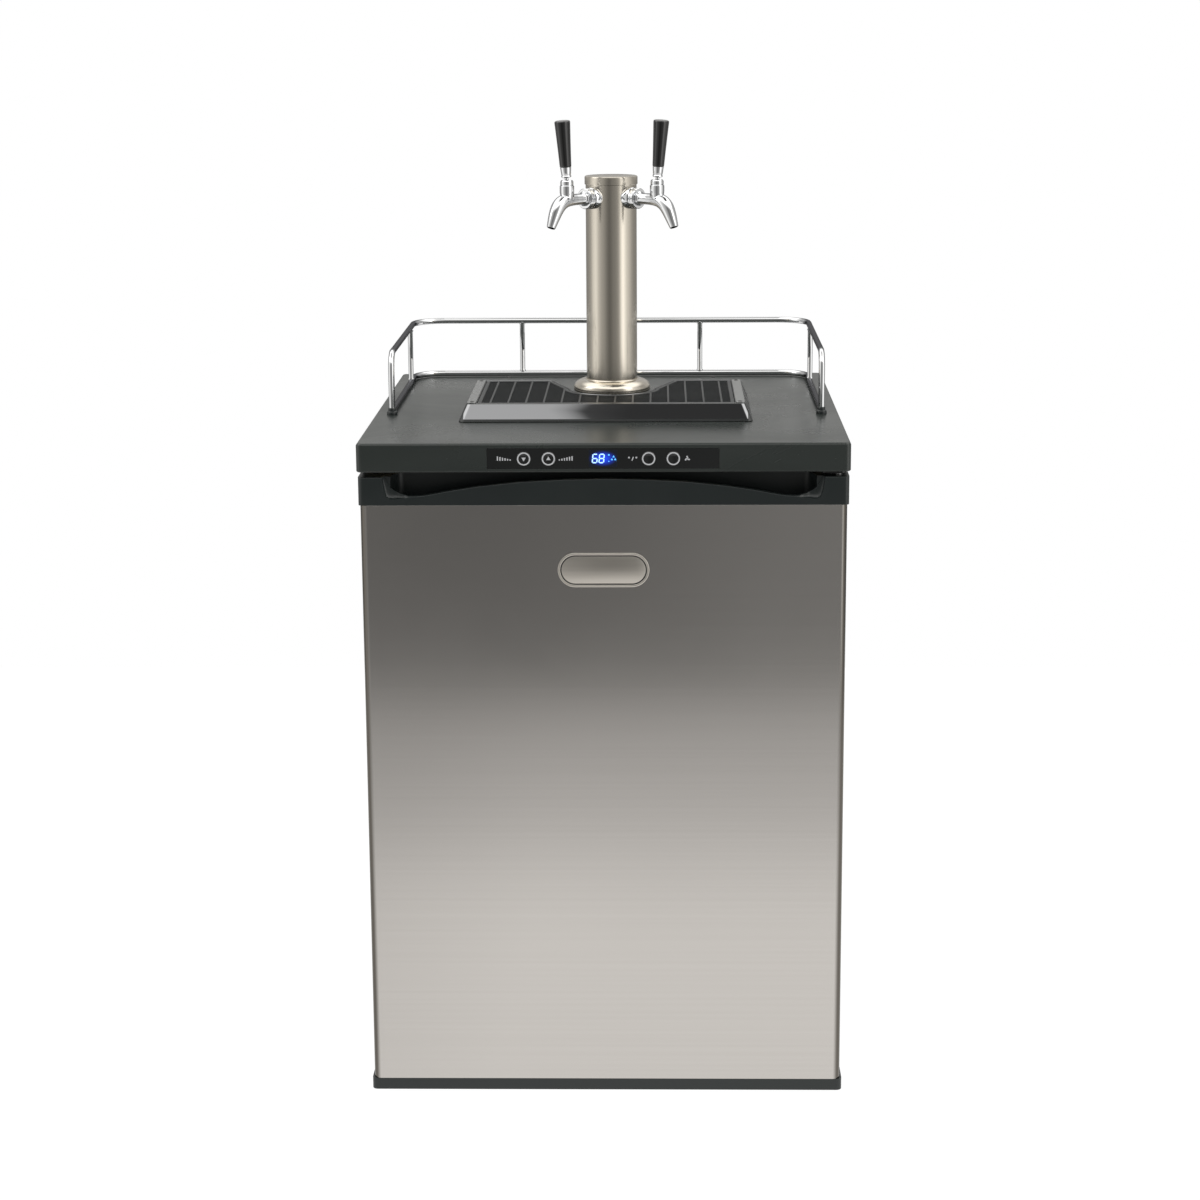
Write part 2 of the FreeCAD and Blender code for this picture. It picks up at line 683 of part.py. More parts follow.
def u_path(z, y_front):
    """Right side, back and left side of the rail, seen from above."""
    r = RAIL_CORNER
    diagonal = r * math.sqrt(0.5)
    inner = RAIL_HALF - r
    back = RAIL_BACK - r
    return [line((RAIL_HALF, y_front, z), (RAIL_HALF, back, z)),
            arc((inner, back, z), (r, 0, 0), (diagonal, diagonal, 0), (0, r, 0)),
            line((inner, RAIL_BACK, z), (-inner, RAIL_BACK, z)),
            arc((-inner, back, z), (0, r, 0), (-diagonal, diagonal, 0), (-r, 0, 0)),
            line((-RAIL_HALF, back, z), (-RAIL_HALF, y_front, z))]


def tube_along(edges, radius, start, direction):
    circle = Part.Circle(Vector(*start), Vector(*direction), radius).toShape()
    return Part.Wire(edges).makePipeShell([Part.Wire([circle])], True, False)


def rail_top():
    r = RAIL_FRONT_BEND
    diagonal = r * math.sqrt(0.5)
    foot_z = LID_TOP + RAIL_FOOT_HEIGHT
    bend = (RAIL_HALF, RAIL_FRONT + r, RAIL_Z - r)
    right = [line((RAIL_HALF, RAIL_FRONT, foot_z), (RAIL_HALF, RAIL_FRONT, RAIL_Z - r)),
             arc(bend, (0, -r, 0), (0, -diagonal, diagonal), (0, 0, r))]
    bend = (-RAIL_HALF, RAIL_FRONT + r, RAIL_Z - r)
    left = [arc(bend, (0, 0, r), (0, -diagonal, diagonal), (0, -r, 0)),
            line((-RAIL_HALF, RAIL_FRONT, RAIL_Z - r), (-RAIL_HALF, RAIL_FRONT, foot_z))]
    path = right + u_path(RAIL_Z, RAIL_FRONT + r) + left
    return tube_along(path, RAIL_R, (RAIL_HALF, RAIL_FRONT, foot_z), (0, 0, 1))


def rail_base():
    y_front = RAIL_FRONT + 7.5
    return tube_along(u_path(RAIL_BASE_Z, y_front), RAIL_R, (RAIL_HALF, y_front, RAIL_BASE_Z),
                      (0, 1, 0))


def rail_posts():
    posts = []
    for x, y in ((127.0, RAIL_BACK), (RAIL_HALF, 200.0)):
        post = upright(RAIL_R - 0.5, x, y, RAIL_BASE_Z, RAIL_Z)
        posts.append(post.cut([rail_top(), rail_base()]))
    solids = [largest_solid(p) for p in posts]
    return Part.makeCompound([both_sides(s) for s in solids])


def largest_solid(shape):
    return max(shape.Solids, key=lambda s: s.Volume)


def rail_feet():
    foot = upright(7.0, RAIL_HALF, RAIL_FRONT, LID_TOP, LID_TOP + RAIL_FOOT_HEIGHT)
    foot = foot.makeFillet(1.5, edges_where(foot, lambda m, e: e.Closed and m.z > LID_TOP + 2))
    return both_sides(foot)


# ---- tower -----------------------------------------------------------------------------------
def tower_flange():
    r0 = TUBE_R + 0.2
    z0 = BOSS_TOP
    z1 = BOSS_TOP + FLANGE_HEIGHT
    profile = [line((r0, 0, z0), (FLANGE_R - 1, 0, z0)),
               line((FLANGE_R - 1, 0, z0), (FLANGE_R, 0, z0 + 1)),
               line((FLANGE_R, 0, z0 + 1), (FLANGE_R, 0, z0 + 5)),
               arc((0, 0, 0), (FLANGE_R, 0, z0 + 5), (FLANGE_R - 4.5, 0, z0 + 12), (r0 + 1.5, 0, z1)),
               line((r0 + 1.5, 0, z1), (r0, 0, z1)),
               line((r0, 0, z1), (r0, 0, z0))]
    solid = Part.Face(Part.Wire(profile)).revolve(Vector(0, 0, 0), Vector(0, 0, 1), 360)
    solid.translate(Vector(TOWER_X, TOWER_Y, 0))
    return solid


def tap_frame(shape, side):
    """Turn a tap piece from its own radial plane to its side of the tower."""
    placed = shape.copy()
    placed.rotate(Vector(0, 0, 0), Vector(0, 0, 1), TAP_ANGLES[side])
    placed.translate(Vector(TOWER_X, TOWER_Y, 0))
    return placed


def radial(radius, rho0, rho1, z=SHANK_Z):
    return cylinder(radius, (rho0, 0, z), (rho1, 0, z))


def tower_tube():
    tube = tower_column(TUBE_R, BOSS_TOP + 1, TOWER_TOP - 4)
    tube = tube.cut(tower_column(TUBE_R - TUBE_WALL, BOSS_TOP, TOWER_TOP))
    return tube.cut([tap_frame(radial(9.6, 20, 50), side) for side in TAP_ANGLES])


def tower_cap():
    r = CAP_R
    z1 = TOWER_TOP
    z0 = TOWER_TOP - CAP_HEIGHT
    return revolve([(TUBE_R + 0.1, z0), (r, z0), (r, z1 - 1.6), (r - 1.4, z1), (0, z1),
                    (0, z1 - 3), (TUBE_R + 0.1, z1 - 3)], (TOWER_X, TOWER_Y))


def tower_insulation():
    sleeve = tower_column(TUBE_R - TUBE_WALL - 0.5, BOSS_TOP + 2, SHANK_Z - 18)
    return sleeve.cut(tower_column(20, BOSS_TOP, SHANK_Z))


def shanks():
    """Shank through the tower wall, with its outer flange bedded on the tube."""
    thread = radial(9.5, 24, 47)
    flange = radial(14.0, 28, 42)
    flange = flange.makeFillet(1.0, edges_where(flange, lambda m, e: e.Closed and m.x > 40))
    whole = thread.fuse(flange.cut(upright(TUBE_R, 0, 0, SHANK_Z - 30, SHANK_Z + 30)))
    whole = whole.cut(radial(4.0, 20, 60))
    return Part.makeCompound([tap_frame(whole, side) for side in TAP_ANGLES])


NUT_START = 42.3
NUT_END = 50.5


def coupling_nuts():
    nut = radial(13.4, NUT_START, NUT_END)
    nut = nut.makeFillet(0.9, edges_where(nut, lambda m, e: e.Closed))
    nut = nut.cut([radial(9.6, 40, 47.2), radial(8.1, 40, 60)])
    holes = []
    for i in range(6):
        hole = upright(1.4, (NUT_START + NUT_END) / 2, 0, 10.8, 20)
        hole.rotate(Vector(0, 0, 0), Vector(1, 0, 0), i * 60 + 30)
        hole.translate(Vector(0, 0, SHANK_Z))
        holes.append(hole)
    nut = nut.cut(holes)
    return Part.makeCompound([tap_frame(nut, side) for side in TAP_ANGLES])


# The spout's centre line is a cubic curve in the tap's own upright plane.
SPOUT_CURVE = [(77.0, 0.0), (99.0, 0.0), (102.0, -12.0), (112.4, -34.2)]
SPOUT_RADII = (8.0, 11.4, 5.6)
OUTLET_R = 3.6


def spout_point(t):
    weights = ((1 - t) ** 3, 3 * t * (1 - t) ** 2, 3 * t * t * (1 - t), t ** 3)
    rho = sum(w * p[0] for w, p in zip(weights, SPOUT_CURVE))
    z = sum(w * p[1] for w, p in zip(weights, SPOUT_CURVE))
    return Vector(rho, 0, SHANK_Z + z)


def spout_radius(t):
    a, b, c = SPOUT_RADII
    return a * (1 - t) ** 2 + 2 * b * t * (1 - t) + c * t * t


def spout_loft(t0, t1, radius):
    """Loft round sections along the centre line; radius is a function of t."""
    sections = []
    count = 9
    for i in range(count):
        t = t0 + (t1 - t0) * i / (count - 1)
        tangent = spout_point(t + 0.001) - spout_point(t - 0.001)
        circle = Part.Circle(spout_point(t), tangent, radius(t)).toShape()
        sections.append(Part.Wire([circle]))
    return Part.makeLoft(sections, True)


def tap_body(side):
    """Barrel, neck and spout in one casting, bored from the shank to the outlet."""
    barrel_profile = [(0, 47.6), (8.0, 47.6), (8.0, 50.6), (9.6, 50.6), (9.6, 52.6), (7.4, 53.6),
                      (7.0, 60), (7.2, 68), (8.0, 76), (8.0, 80), (0, 80)]
    barrel = revolve(barrel_profile)
    barrel.rotate(Vector(0, 0, 0), Vector(0, 1, 0), 90)
    barrel.translate(Vector(0, 0, SHANK_Z))
    neck = revolve([(0, SHANK_Z - 3), (8.2, SHANK_Z - 3), (8.6, SHANK_Z + 6), (NECK_R, SHANK_Z + 10),
                    (NECK_R, NECK_TOP - 0.8), (NECK_R - 0.8, NECK_TOP), (0, NECK_TOP)],
                   (LEVER_RHO, 0))
    spout = spout_loft(0.0, 1.0, spout_radius)
    bores = [radial(OUTLET_R, 40, 86), upright(7.4, LEVER_RHO, 0, SHANK_Z + 9, NECK_TOP + 1),
             spout_loft(0.1, 1.02, lambda t: OUTLET_R)]
    return tap_frame(fuse([barrel, neck, spout]).cut(bores), side)


def tap_bonnets():
    ring = revolve([(6.2, NECK_TOP), (8.0, NECK_TOP), (8.4, NECK_TOP + 0.5), (8.4, BONNET_TOP - 1.6),
                    (7.4, BONNET_TOP), (6.2, BONNET_TOP)], (LEVER_RHO, 0))
    return Part.makeCompound([tap_frame(ring, side) for side in TAP_ANGLES])


def along_lever(shape, side):
    """Place a piece drawn upwards from the pivot on the leaning lever."""
    placed = shape.copy()
    placed.rotate(Vector(0, 0, 0), Vector(0, 1, 0), LEVER_LEAN)
    placed.translate(Vector(LEVER_RHO, 0, LEVER_Z))
    return tap_frame(placed, side)


def lever(side):
    """Ball, stem, finger and the flared ferrule that carries the handle."""
    ball = Part.makeSphere(5.8)
    stem = upright(2.5, 0, 0, 0, 12)
    finger = upright(2.0, 0, 0, -9, 0)
    ferrule = revolve([(0, 8.6), (5.6, 8.6), (6.6, 9.6), (6.6, 10.8), (6.1, 12.0),
                       (7.3, HANDLE_START), (0, HANDLE_START)])
    stud = upright(3.0, 0, 0, HANDLE_START, HANDLE_START + 20)
    return along_lever(fuse([ball, stem, finger, ferrule, stud]), side)


def handle(side):
    z0 = HANDLE_START
    z1 = HANDLE_END
    body = revolve([(0, z0), (7.2, z0), (7.5, z0 + 0.5), (10.2, z1 - 2.4), (9.4, z1 - 0.7),
                    (7.6, z1), (0, z1)])
    return along_lever(body.cut(upright(3.0, 0, 0, z0 - 1, z0 + 20)), side)


# ---- all sub-parts ---------------------------------------------------------------------------
def sub_parts():
    parts = {
        "side_panel_left": side_panel(-1),
        "side_panel_right": side_panel(1),
        "back_panel": back_panel(),
        "base_plate": base_plate(),
        "top_plate": top_plate(),
        "inner_liner": inner_liner(),
        "cabinet_foam": cabinet_foam(),
        "keg_floor_plate": keg_floor_plate(),
        "evaporator_plate": evaporator_plate(),
        "fan_housing": fan_housing(),
        "fan_impeller": fan_impeller(),
        "compressor": compressor(),
        "compressor_mounts": compressor_mounts(),
        "gas_line_grommet": gas_line_grommet(),
        "power_inlet": power_inlet(),
        "levelling_feet": levelling_feet(),
        "lid": lid(),
        "lid_insulation": lid_insulation(),
        "lid_screws": lid_screws(),
        "control_bezel": control_bezel(),
        "display_window": display_window(),
        "control_board": control_board(),
        "door_skin": door_skin(),
        "door_foam": door_foam(),
        "door_liner": door_liner(),
        "door_gasket": door_gasket(),
        "door_top_cap": door_top_cap(),
        "door_bottom_cap": door_bottom_cap(),
        "door_badge": door_badge(),
        "hinge_bracket_top": hinge_bracket_top(),
        "hinge_bracket_bottom": hinge_bracket_bottom(),
        "hinge_pins": hinge_pins(),
        "drip_tray": drip_tray(),
        "drip_grille": drip_grille(),
        "tray_trims": tray_trims(),
        "rail_top": rail_top(),
        "rail_base": rail_base(),
        "rail_posts": rail_posts(),
        "rail_feet": rail_feet(),
        "tower_flange": tower_flange(),
        "tower_tube": tower_tube(),
        "tower_cap": tower_cap(),
        "tower_insulation": tower_insulation(),
        "shanks": shanks(),
        "coupling_nuts": coupling_nuts(),
        "tap_bonnets": tap_bonnets(),
    }
    for number, x in enumerate(BUTTON_X, start=1):
        parts["button_%d" % number] = button(x)
    for side in TAP_ANGLES:
        parts["tap_body_" + side] = tap_body(side)
        parts["lever_" + side] = lever(side)
        parts["handle_" + side] = handle(side)
    return parts


def main():
    os.makedirs("parts", exist_ok=True)
    for name, shape in sub_parts().items():
        shape.exportStep("parts/%s.step" % name)
        print("%-22s solids %2d  volume %10.0f mm3  valid %s"
              % (name, len(shape.Solids), shape.Volume, shape.isValid()))


main()
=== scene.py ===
# %% [markdown]
# # A two-tap kegerator
# The cabinet, door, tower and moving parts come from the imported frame. This script gives every
# visible part its finished mesh and its material, piece by piece, and then sets the studio.
# Everything is in metres and stands where the frame says, so nothing is fitted by eye.

# %% Load the frame
import json
import math

import bmesh
import bpy
from mathutils import Matrix, Vector


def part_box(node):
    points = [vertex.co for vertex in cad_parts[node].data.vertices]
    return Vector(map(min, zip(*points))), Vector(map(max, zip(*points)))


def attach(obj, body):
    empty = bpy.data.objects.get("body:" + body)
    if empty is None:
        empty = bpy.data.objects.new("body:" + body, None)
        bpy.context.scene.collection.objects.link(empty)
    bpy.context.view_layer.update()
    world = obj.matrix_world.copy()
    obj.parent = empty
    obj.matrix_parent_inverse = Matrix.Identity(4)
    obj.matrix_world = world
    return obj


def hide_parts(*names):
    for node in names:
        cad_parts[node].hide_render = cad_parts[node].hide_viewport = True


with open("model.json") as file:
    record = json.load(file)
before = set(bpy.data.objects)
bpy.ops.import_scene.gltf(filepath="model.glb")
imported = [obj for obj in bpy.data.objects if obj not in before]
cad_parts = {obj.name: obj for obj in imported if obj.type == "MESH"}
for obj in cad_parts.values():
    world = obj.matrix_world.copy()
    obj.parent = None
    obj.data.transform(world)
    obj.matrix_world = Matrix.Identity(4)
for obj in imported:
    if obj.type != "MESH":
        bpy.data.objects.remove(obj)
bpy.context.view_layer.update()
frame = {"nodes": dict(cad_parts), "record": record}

MM = 0.001
BODY_OF = {n: body for body, nodes in frame["record"]["behaviour"]["bodies"].items() for n in nodes}
JOINTS = {joint["name"]: joint for joint in frame["record"]["behaviour"]["joints"]}

# %% [markdown]
# ## Node helpers
# Every material below is a small node tree. One helper adds a node with its settings and its
# inputs in a single call, and another opens a reusable group with named sockets, so a finish
# reads as a short recipe instead of a page of links.

# %% Node helpers
def add(tree, kind, inputs=None, **settings):
    """Add a node; an input is either a socket to link or a value to set."""
    made = tree.nodes.new(kind)
    for key, value in settings.items():
        setattr(made, key, value)
    for key, value in (inputs or {}).items():
        if isinstance(value, bpy.types.NodeSocket):
            tree.links.new(value, made.inputs[key])
        else:
            made.inputs[key].default_value = value
    return made


def math_node(tree, operation, a, b=0.0):
    return add(tree, "ShaderNodeMath", {0: a, 1: b}, operation=operation).outputs[0]


def open_group(name, inputs, outputs):
    """A shader group with named inputs (with defaults) and outputs."""
    tree = bpy.data.node_groups.new(name, "ShaderNodeTree")
    for label, kind, value in inputs:
        socket = tree.interface.new_socket(label, in_out="INPUT", socket_type=kind)
        socket.default_value = value
    for label, kind in outputs:
        tree.interface.new_socket(label, in_out="OUTPUT", socket_type=kind)
    return tree, tree.nodes.new("NodeGroupInput").outputs, tree.nodes.new("NodeGroupOutput").inputs


FLOAT, VECTOR = "NodeSocketFloat", "NodeSocketVector"
print("node helpers ready")

# %% [markdown]
# ## Shared effects
# Four things make a plain colour look like a made surface: the grain of a moulding, the lines
# of a brushed sheet, the faint smears that handling leaves in a gloss, and edges rubbed a little
# lighter. Each is one group that only puts out values, and the shader stays in the material.

# %% Group: moulded grain
def build_grain():
    """Leathery cells with a fine noise on top, as spark-eroded moulds leave."""
    tree, given, out = open_group("Moulded grain", [("Cell size mm", FLOAT, 1.2)],
                                  [("Height", FLOAT), ("Tone", FLOAT)])
    place = add(tree, "ShaderNodeTexCoord").outputs["Object"]
    scale = math_node(tree, "DIVIDE", 1000.0, given["Cell size mm"])
    cells = add(tree, "ShaderNodeTexVoronoi", {"Vector": place, "Scale": scale},
                feature="SMOOTH_F1").outputs["Distance"]
    speckle = add(tree, "ShaderNodeTexNoise", {"Vector": place, "Scale": scale, "Detail": 3.0})
    height = add(tree, "ShaderNodeMix", {"Factor": 0.4, "A": cells,
                                         "B": speckle.outputs["Fac"]}).outputs["Result"]
    cloud = add(tree, "ShaderNodeTexNoise", {"Vector": place, "Scale": 7.0, "Detail": 3.0})
    tree.links.new(height, out["Height"])
    tree.links.new(cloud.outputs["Fac"], out["Tone"])
    return tree


GRAIN = build_grain()
print("group:", GRAIN.name)

# %% Group: brushed lines
def build_brushing():
    """Noise drawn out along one axis: short in the other two directions, long in this one."""
    tree, given, out = open_group(
        "Brushed lines", [("Stretch", VECTOR, (4.0, 900.0, 900.0))],
        [("Height", FLOAT), ("Tone", FLOAT)])
    place = add(tree, "ShaderNodeTexCoord").outputs["Object"]
    drawn = add(tree, "ShaderNodeVectorMath", {0: place, 1: given["Stretch"]},
                operation="MULTIPLY").outputs[0]
    fine = add(tree, "ShaderNodeTexNoise", {"Vector": drawn, "Scale": 2.2, "Detail": 4.0,
                                            "Roughness": 0.7})
    broad = add(tree, "ShaderNodeTexNoise", {"Vector": drawn, "Scale": 0.35, "Detail": 2.0})
    tree.links.new(fine.outputs["Fac"], out["Height"])
    tree.links.new(broad.outputs["Fac"], out["Tone"])
    return tree


BRUSHING = build_brushing()
print("group:", BRUSHING.name)

# %% Group: smears
def build_smears():
    """Soft patches that lift the roughness of a polished face here and there."""
    tree, given, out = open_group(
        "Smears", [("Base", FLOAT, 0.1), ("Spread", FLOAT, 0.1), ("Size", FLOAT, 9.0)],
        [("Roughness", FLOAT)])
    place = add(tree, "ShaderNodeTexCoord").outputs["Object"]
    patch = add(tree, "ShaderNodeTexNoise", {"Vector": place, "Scale": given["Size"],
                                             "Detail": 6.0, "Roughness": 0.62, "Distortion": 0.6})
    soft = add(tree, "ShaderNodeMapRange", {"Value": patch.outputs["Fac"], "From Min": 0.35,
                                            "From Max": 0.75}).outputs["Result"]
    lifted = add(tree, "ShaderNodeMath", {0: soft, 1: given["Spread"], 2: given["Base"]},
                 operation="MULTIPLY_ADD").outputs[0]
    tree.links.new(lifted, out["Roughness"])
    return tree


SMEARS = build_smears()
print("group:", SMEARS.name)

# %% Group: rubbed edges
def build_rubbed_edges():
    """A mask that is 1 on tight outer edges, broken up by noise."""
    tree, given, out = open_group("Rubbed edges", [("Width mm", FLOAT, 0.6), ("Amount", FLOAT, 0.5)],
                                  [("Mask", FLOAT)])
    radius = math_node(tree, "MULTIPLY", given["Width mm"], 0.001)
    rounded = add(tree, "ShaderNodeBevel", {"Radius": radius}, samples=4).outputs["Normal"]
    flat = add(tree, "ShaderNodeNewGeometry").outputs["Normal"]
    likeness = add(tree, "ShaderNodeVectorMath", {0: rounded, 1: flat},
                   operation="DOT_PRODUCT").outputs["Value"]
    edge = add(tree, "ShaderNodeMapRange", {"Value": likeness, "From Min": 0.995,
                                            "From Max": 0.9}).outputs["Result"]
    place = add(tree, "ShaderNodeTexCoord").outputs["Object"]
    broken = add(tree, "ShaderNodeTexNoise", {"Vector": place, "Scale": 120.0, "Detail": 4.0})
    mask = math_node(tree, "MULTIPLY", edge, broken.outputs["Fac"])
    tree.links.new(math_node(tree, "MULTIPLY", mask, given["Amount"]), out["Mask"])
    return tree


RUBBED = build_rubbed_edges()
print("shared groups:", [g.name for g in bpy.data.node_groups])

# %% [markdown]
# ## Materials
# A material starts from one Principled shader. Numbers that are the same everywhere sit on the
# shader's own sockets; only what changes over the surface is linked.

# %% Material helpers
def start_material(name, **sockets):
    material = bpy.data.materials.new(name)
    material.use_nodes = True
    tree = material.node_tree
    shader = tree.nodes["Principled BSDF"]
    for label, value in sockets.items():
        shader.inputs[label.replace("_", " ")].default_value = value
    return material, tree, shader


def use_group(tree, group, **values):
    made = add(tree, "ShaderNodeGroup", node_tree=group)
    for label, value in values.items():
        made.inputs[label.replace("_", " ")].default_value = value
    return made.outputs


def color_mix(tree, factor, low, high):
    """Blend two colours; a mix node's colour sockets are numbers 6 and 7."""
    colors = [c if isinstance(c, bpy.types.NodeSocket) else (*c, 1.0) for c in (low, high)]
    made = add(tree, "ShaderNodeMix", {0: factor, 6: colors[0], 7: colors[1]}, data_type="RGBA")
    return made.outputs[2]


def link_bump(tree, shader, height, depth_mm, strength=1.0):
    bump = add(tree, "ShaderNodeBump", {"Height": height, "Distance": depth_mm * MM,
                                        "Strength": strength})
    tree.links.new(bump.outputs["Normal"], shader.inputs["Normal"])


print("material helpers ready")

# %% [markdown]
# ### Plastics
# The worktop and the door caps are black ABS from a grained mould, so they have a fine leathery
# bump and a broad, low sheen. The control panel, the tray and the tap handles are polished
# instead: the same black with almost no bump, a thin clear coat and faint smears.

# %% Plastic materials
def moulded_plastic(name, low, high, cell_mm, depth_mm, roughness, worn):
    material, tree, shader = start_material(name, Roughness=roughness)
    grain = use_group(tree, GRAIN, Cell_size_mm=cell_mm)
    tone = color_mix(tree, grain["Tone"], low, high)
    mask = use_group(tree, RUBBED, Width_mm=0.8, Amount=0.6)["Mask"]
    tree.links.new(color_mix(tree, mask, tone, worn), shader.inputs["Base Color"])
    rough = use_group(tree, SMEARS, Base=roughness, Spread=0.12, Size=5.0)["Roughness"]
    tree.links.new(rough, shader.inputs["Roughness"])
    link_bump(tree, shader, grain["Height"], depth_mm)
    return material


def polished_plastic(name, low, high, roughness):
    material, tree, shader = start_material(name, Coat_Weight=0.6, Coat_Roughness=0.03)
    grain = use_group(tree, GRAIN, Cell_size_mm=14.0)
    tree.links.new(color_mix(tree, grain["Tone"], low, high), shader.inputs["Base Color"])
    rough = use_group(tree, SMEARS, Base=roughness, Spread=0.10, Size=14.0)["Roughness"]
    tree.links.new(rough, shader.inputs["Roughness"])
    link_bump(tree, shader, grain["Height"], 0.015, 0.5)
    return material


worktop_plastic = moulded_plastic("worktop_plastic", (0.022, 0.027, 0.025), (0.028, 0.034, 0.031),
                                  1.1, 0.02, 0.24, (0.10, 0.10, 0.10))
trim_plastic = moulded_plastic("trim_plastic", (0.009, 0.013, 0.013), (0.013, 0.018, 0.018),
                               0.8, 0.02, 0.30, (0.07, 0.08, 0.08))
panel_gloss = polished_plastic("panel_gloss", (0.004, 0.005, 0.005), (0.007, 0.008, 0.008), 0.12)
handle_gloss = polished_plastic("handle_gloss", (0.003, 0.003, 0.003), (0.006, 0.006, 0.006), 0.05)
liner_plastic = moulded_plastic("liner_plastic", (0.66, 0.67, 0.66), (0.72, 0.73, 0.72),
                                2.5, 0.02, 0.34, (0.80, 0.80, 0.79))
circuit_board = moulded_plastic("circuit_board", (0.01, 0.10, 0.04), (0.02, 0.15, 0.06),
                                3.0, 0.02, 0.30, (0.3, 0.3, 0.2))
rubber_black = moulded_plastic("rubber_black", (0.016, 0.016, 0.016), (0.028, 0.028, 0.028),
                               0.5, 0.03, 0.68, (0.06, 0.06, 0.06))
foam_cream = moulded_plastic("foam_cream", (0.70, 0.60, 0.38), (0.80, 0.72, 0.50),
                             1.8, 0.30, 0.85, (0.84, 0.78, 0.60))
print("plastics:", len(bpy.data.materials))

# %% [markdown]
# ### Metals
# The door skin is stainless sheet brushed across its width. The tower is a drawn tube with a
# warm satin finish brushed up and down. The taps and the rail are chrome-plated, so they carry
# almost no texture of their own and live from what they mirror.

# %% Metal materials
def brushed_metal(name, low, high, stretch, depth_mm, roughness, spread=0.10):
    material, tree, shader = start_material(name, Metallic=1.0)
    lines = use_group(tree, BRUSHING, Stretch=stretch)
    tree.links.new(color_mix(tree, lines["Tone"], low, high), shader.inputs["Base Color"])
    rough = use_group(tree, SMEARS, Base=roughness, Spread=spread, Size=3.0)["Roughness"]
    tree.links.new(rough, shader.inputs["Roughness"])
    link_bump(tree, shader, lines["Height"], depth_mm, 0.6)
    return material


def painted_metal(name, low, high, roughness, worn):
    material, tree, shader = start_material(name, Coat_Weight=0.15, Coat_Roughness=0.2)
    grain = use_group(tree, GRAIN, Cell_size_mm=2.2)
    tone = color_mix(tree, grain["Tone"], low, high)
    mask = use_group(tree, RUBBED, Width_mm=0.5, Amount=0.5)["Mask"]
    tree.links.new(color_mix(tree, mask, tone, worn), shader.inputs["Base Color"])
    rough = use_group(tree, SMEARS, Base=roughness, Spread=0.12, Size=6.0)["Roughness"]
    tree.links.new(rough, shader.inputs["Roughness"])
    link_bump(tree, shader, grain["Height"], 0.02)
    return material


def plated_metal(name, color, roughness, spread):
    material, tree, shader = start_material(name, Metallic=1.0, Specular_Tint=(0.2, 0.2, 0.21, 1.0))
    grain = use_group(tree, GRAIN, Cell_size_mm=9.0)
    dull = tuple(0.94 * c for c in color)
    tree.links.new(color_mix(tree, grain["Tone"], dull, color), shader.inputs["Base Color"])
    rough = use_group(tree, SMEARS, Base=roughness, Spread=spread, Size=40.0)["Roughness"]
    tree.links.new(rough, shader.inputs["Roughness"])
    return material


tower_steel = brushed_metal("tower_steel", (0.63, 0.585, 0.50), (0.67, 0.62, 0.54),
                            (900.0, 900.0, 5.0), 0.003, 0.17, 0.04)
steel_bright = brushed_metal("steel_bright", (0.58, 0.58, 0.58), (0.68, 0.68, 0.68),
                             (500.0, 5.0, 500.0), 0.006, 0.22)
badge_champagne = brushed_metal("badge_champagne", (0.52, 0.49, 0.44), (0.60, 0.57, 0.52),
                                (8.0, 500.0, 500.0), 0.006, 0.32)
plate_aluminium = brushed_metal("plate_aluminium", (0.66, 0.67, 0.68), (0.74, 0.75, 0.76),
                                (40.0, 200.0, 6.0), 0.01, 0.38)
tray_steel = brushed_metal("tray_steel", (0.34, 0.35, 0.345), (0.42, 0.43, 0.425),
                           (500.0, 5.0, 500.0), 0.006, 0.24)
chrome = plated_metal("chrome", (0.86, 0.87, 0.88), 0.02, 0.03)
cabinet_paint = painted_metal("cabinet_paint", (0.014, 0.014, 0.015), (0.020, 0.020, 0.021),
                              0.38, (0.20, 0.20, 0.20))
zinc_sheet = painted_metal("zinc_sheet", (0.38, 0.39, 0.40), (0.52, 0.53, 0.54),
                           0.34, (0.65, 0.65, 0.65))
grille_black = painted_metal("grille_black", (0.005, 0.008, 0.009), (0.010, 0.013, 0.014),
                             0.46, (0.03, 0.03, 0.03))
bracket_steel = painted_metal("bracket_steel", (0.020, 0.020, 0.020), (0.035, 0.035, 0.035),
                              0.36, (0.3, 0.3, 0.3))
print("materials so far:", len(bpy.data.materials))

# %% Door steel
skin_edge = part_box("door_skin")[1].x


def door_finish():
    """Brushed sheet with painted shade: its folded side edges are coloured darker than the face."""
    material = brushed_metal("door_steel", (0.535, 0.515, 0.49), (0.565, 0.545, 0.52),
                             (3.0, 700.0, 700.0), 0.003, 0.15, 0.03)
    tree = material.node_tree
    shader = tree.nodes["Principled BSDF"]
    face_color = shader.inputs["Base Color"].links[0].from_socket
    place = add(tree, "ShaderNodeTexCoord").outputs["Object"]
    across = add(tree, "ShaderNodeSeparateXYZ", {0: place}).outputs["X"]
    away = math_node(tree, "ABSOLUTE", across)
    painted_fold_shade = add(tree, "ShaderNodeMapRange", {"Value": away, "From Min": skin_edge - 9.5 * MM,
                                            "From Max": skin_edge - 3.5 * MM},
               interpolation_type="SMOOTHSTEP").outputs["Result"]
    # Painted shade: the colour turns dark towards each folded side edge of the skin.
    tree.links.new(color_mix(tree, painted_fold_shade, face_color, (0.13, 0.12, 0.105)), shader.inputs["Base Color"])
    return material


door_steel = door_finish()
print("door steel folds", round(skin_edge / MM, 1), "mm from the middle")

# %% [markdown]
# ### Lit and printed marks
# The panel's display is a smoked window with blue light behind it. The glow is strongest at the
# digits and fades to the window's ends, so its emission colour follows the distance from the
# middle, and its base colour is painted bluer there too as a painted glow. The rings and symbols
# are a pale print with a faint emission, a painted glow in place of the light they catch.

# %% Display and print materials
display_low, display_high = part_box("display_window")
display_middle = (display_low + display_high) / 2


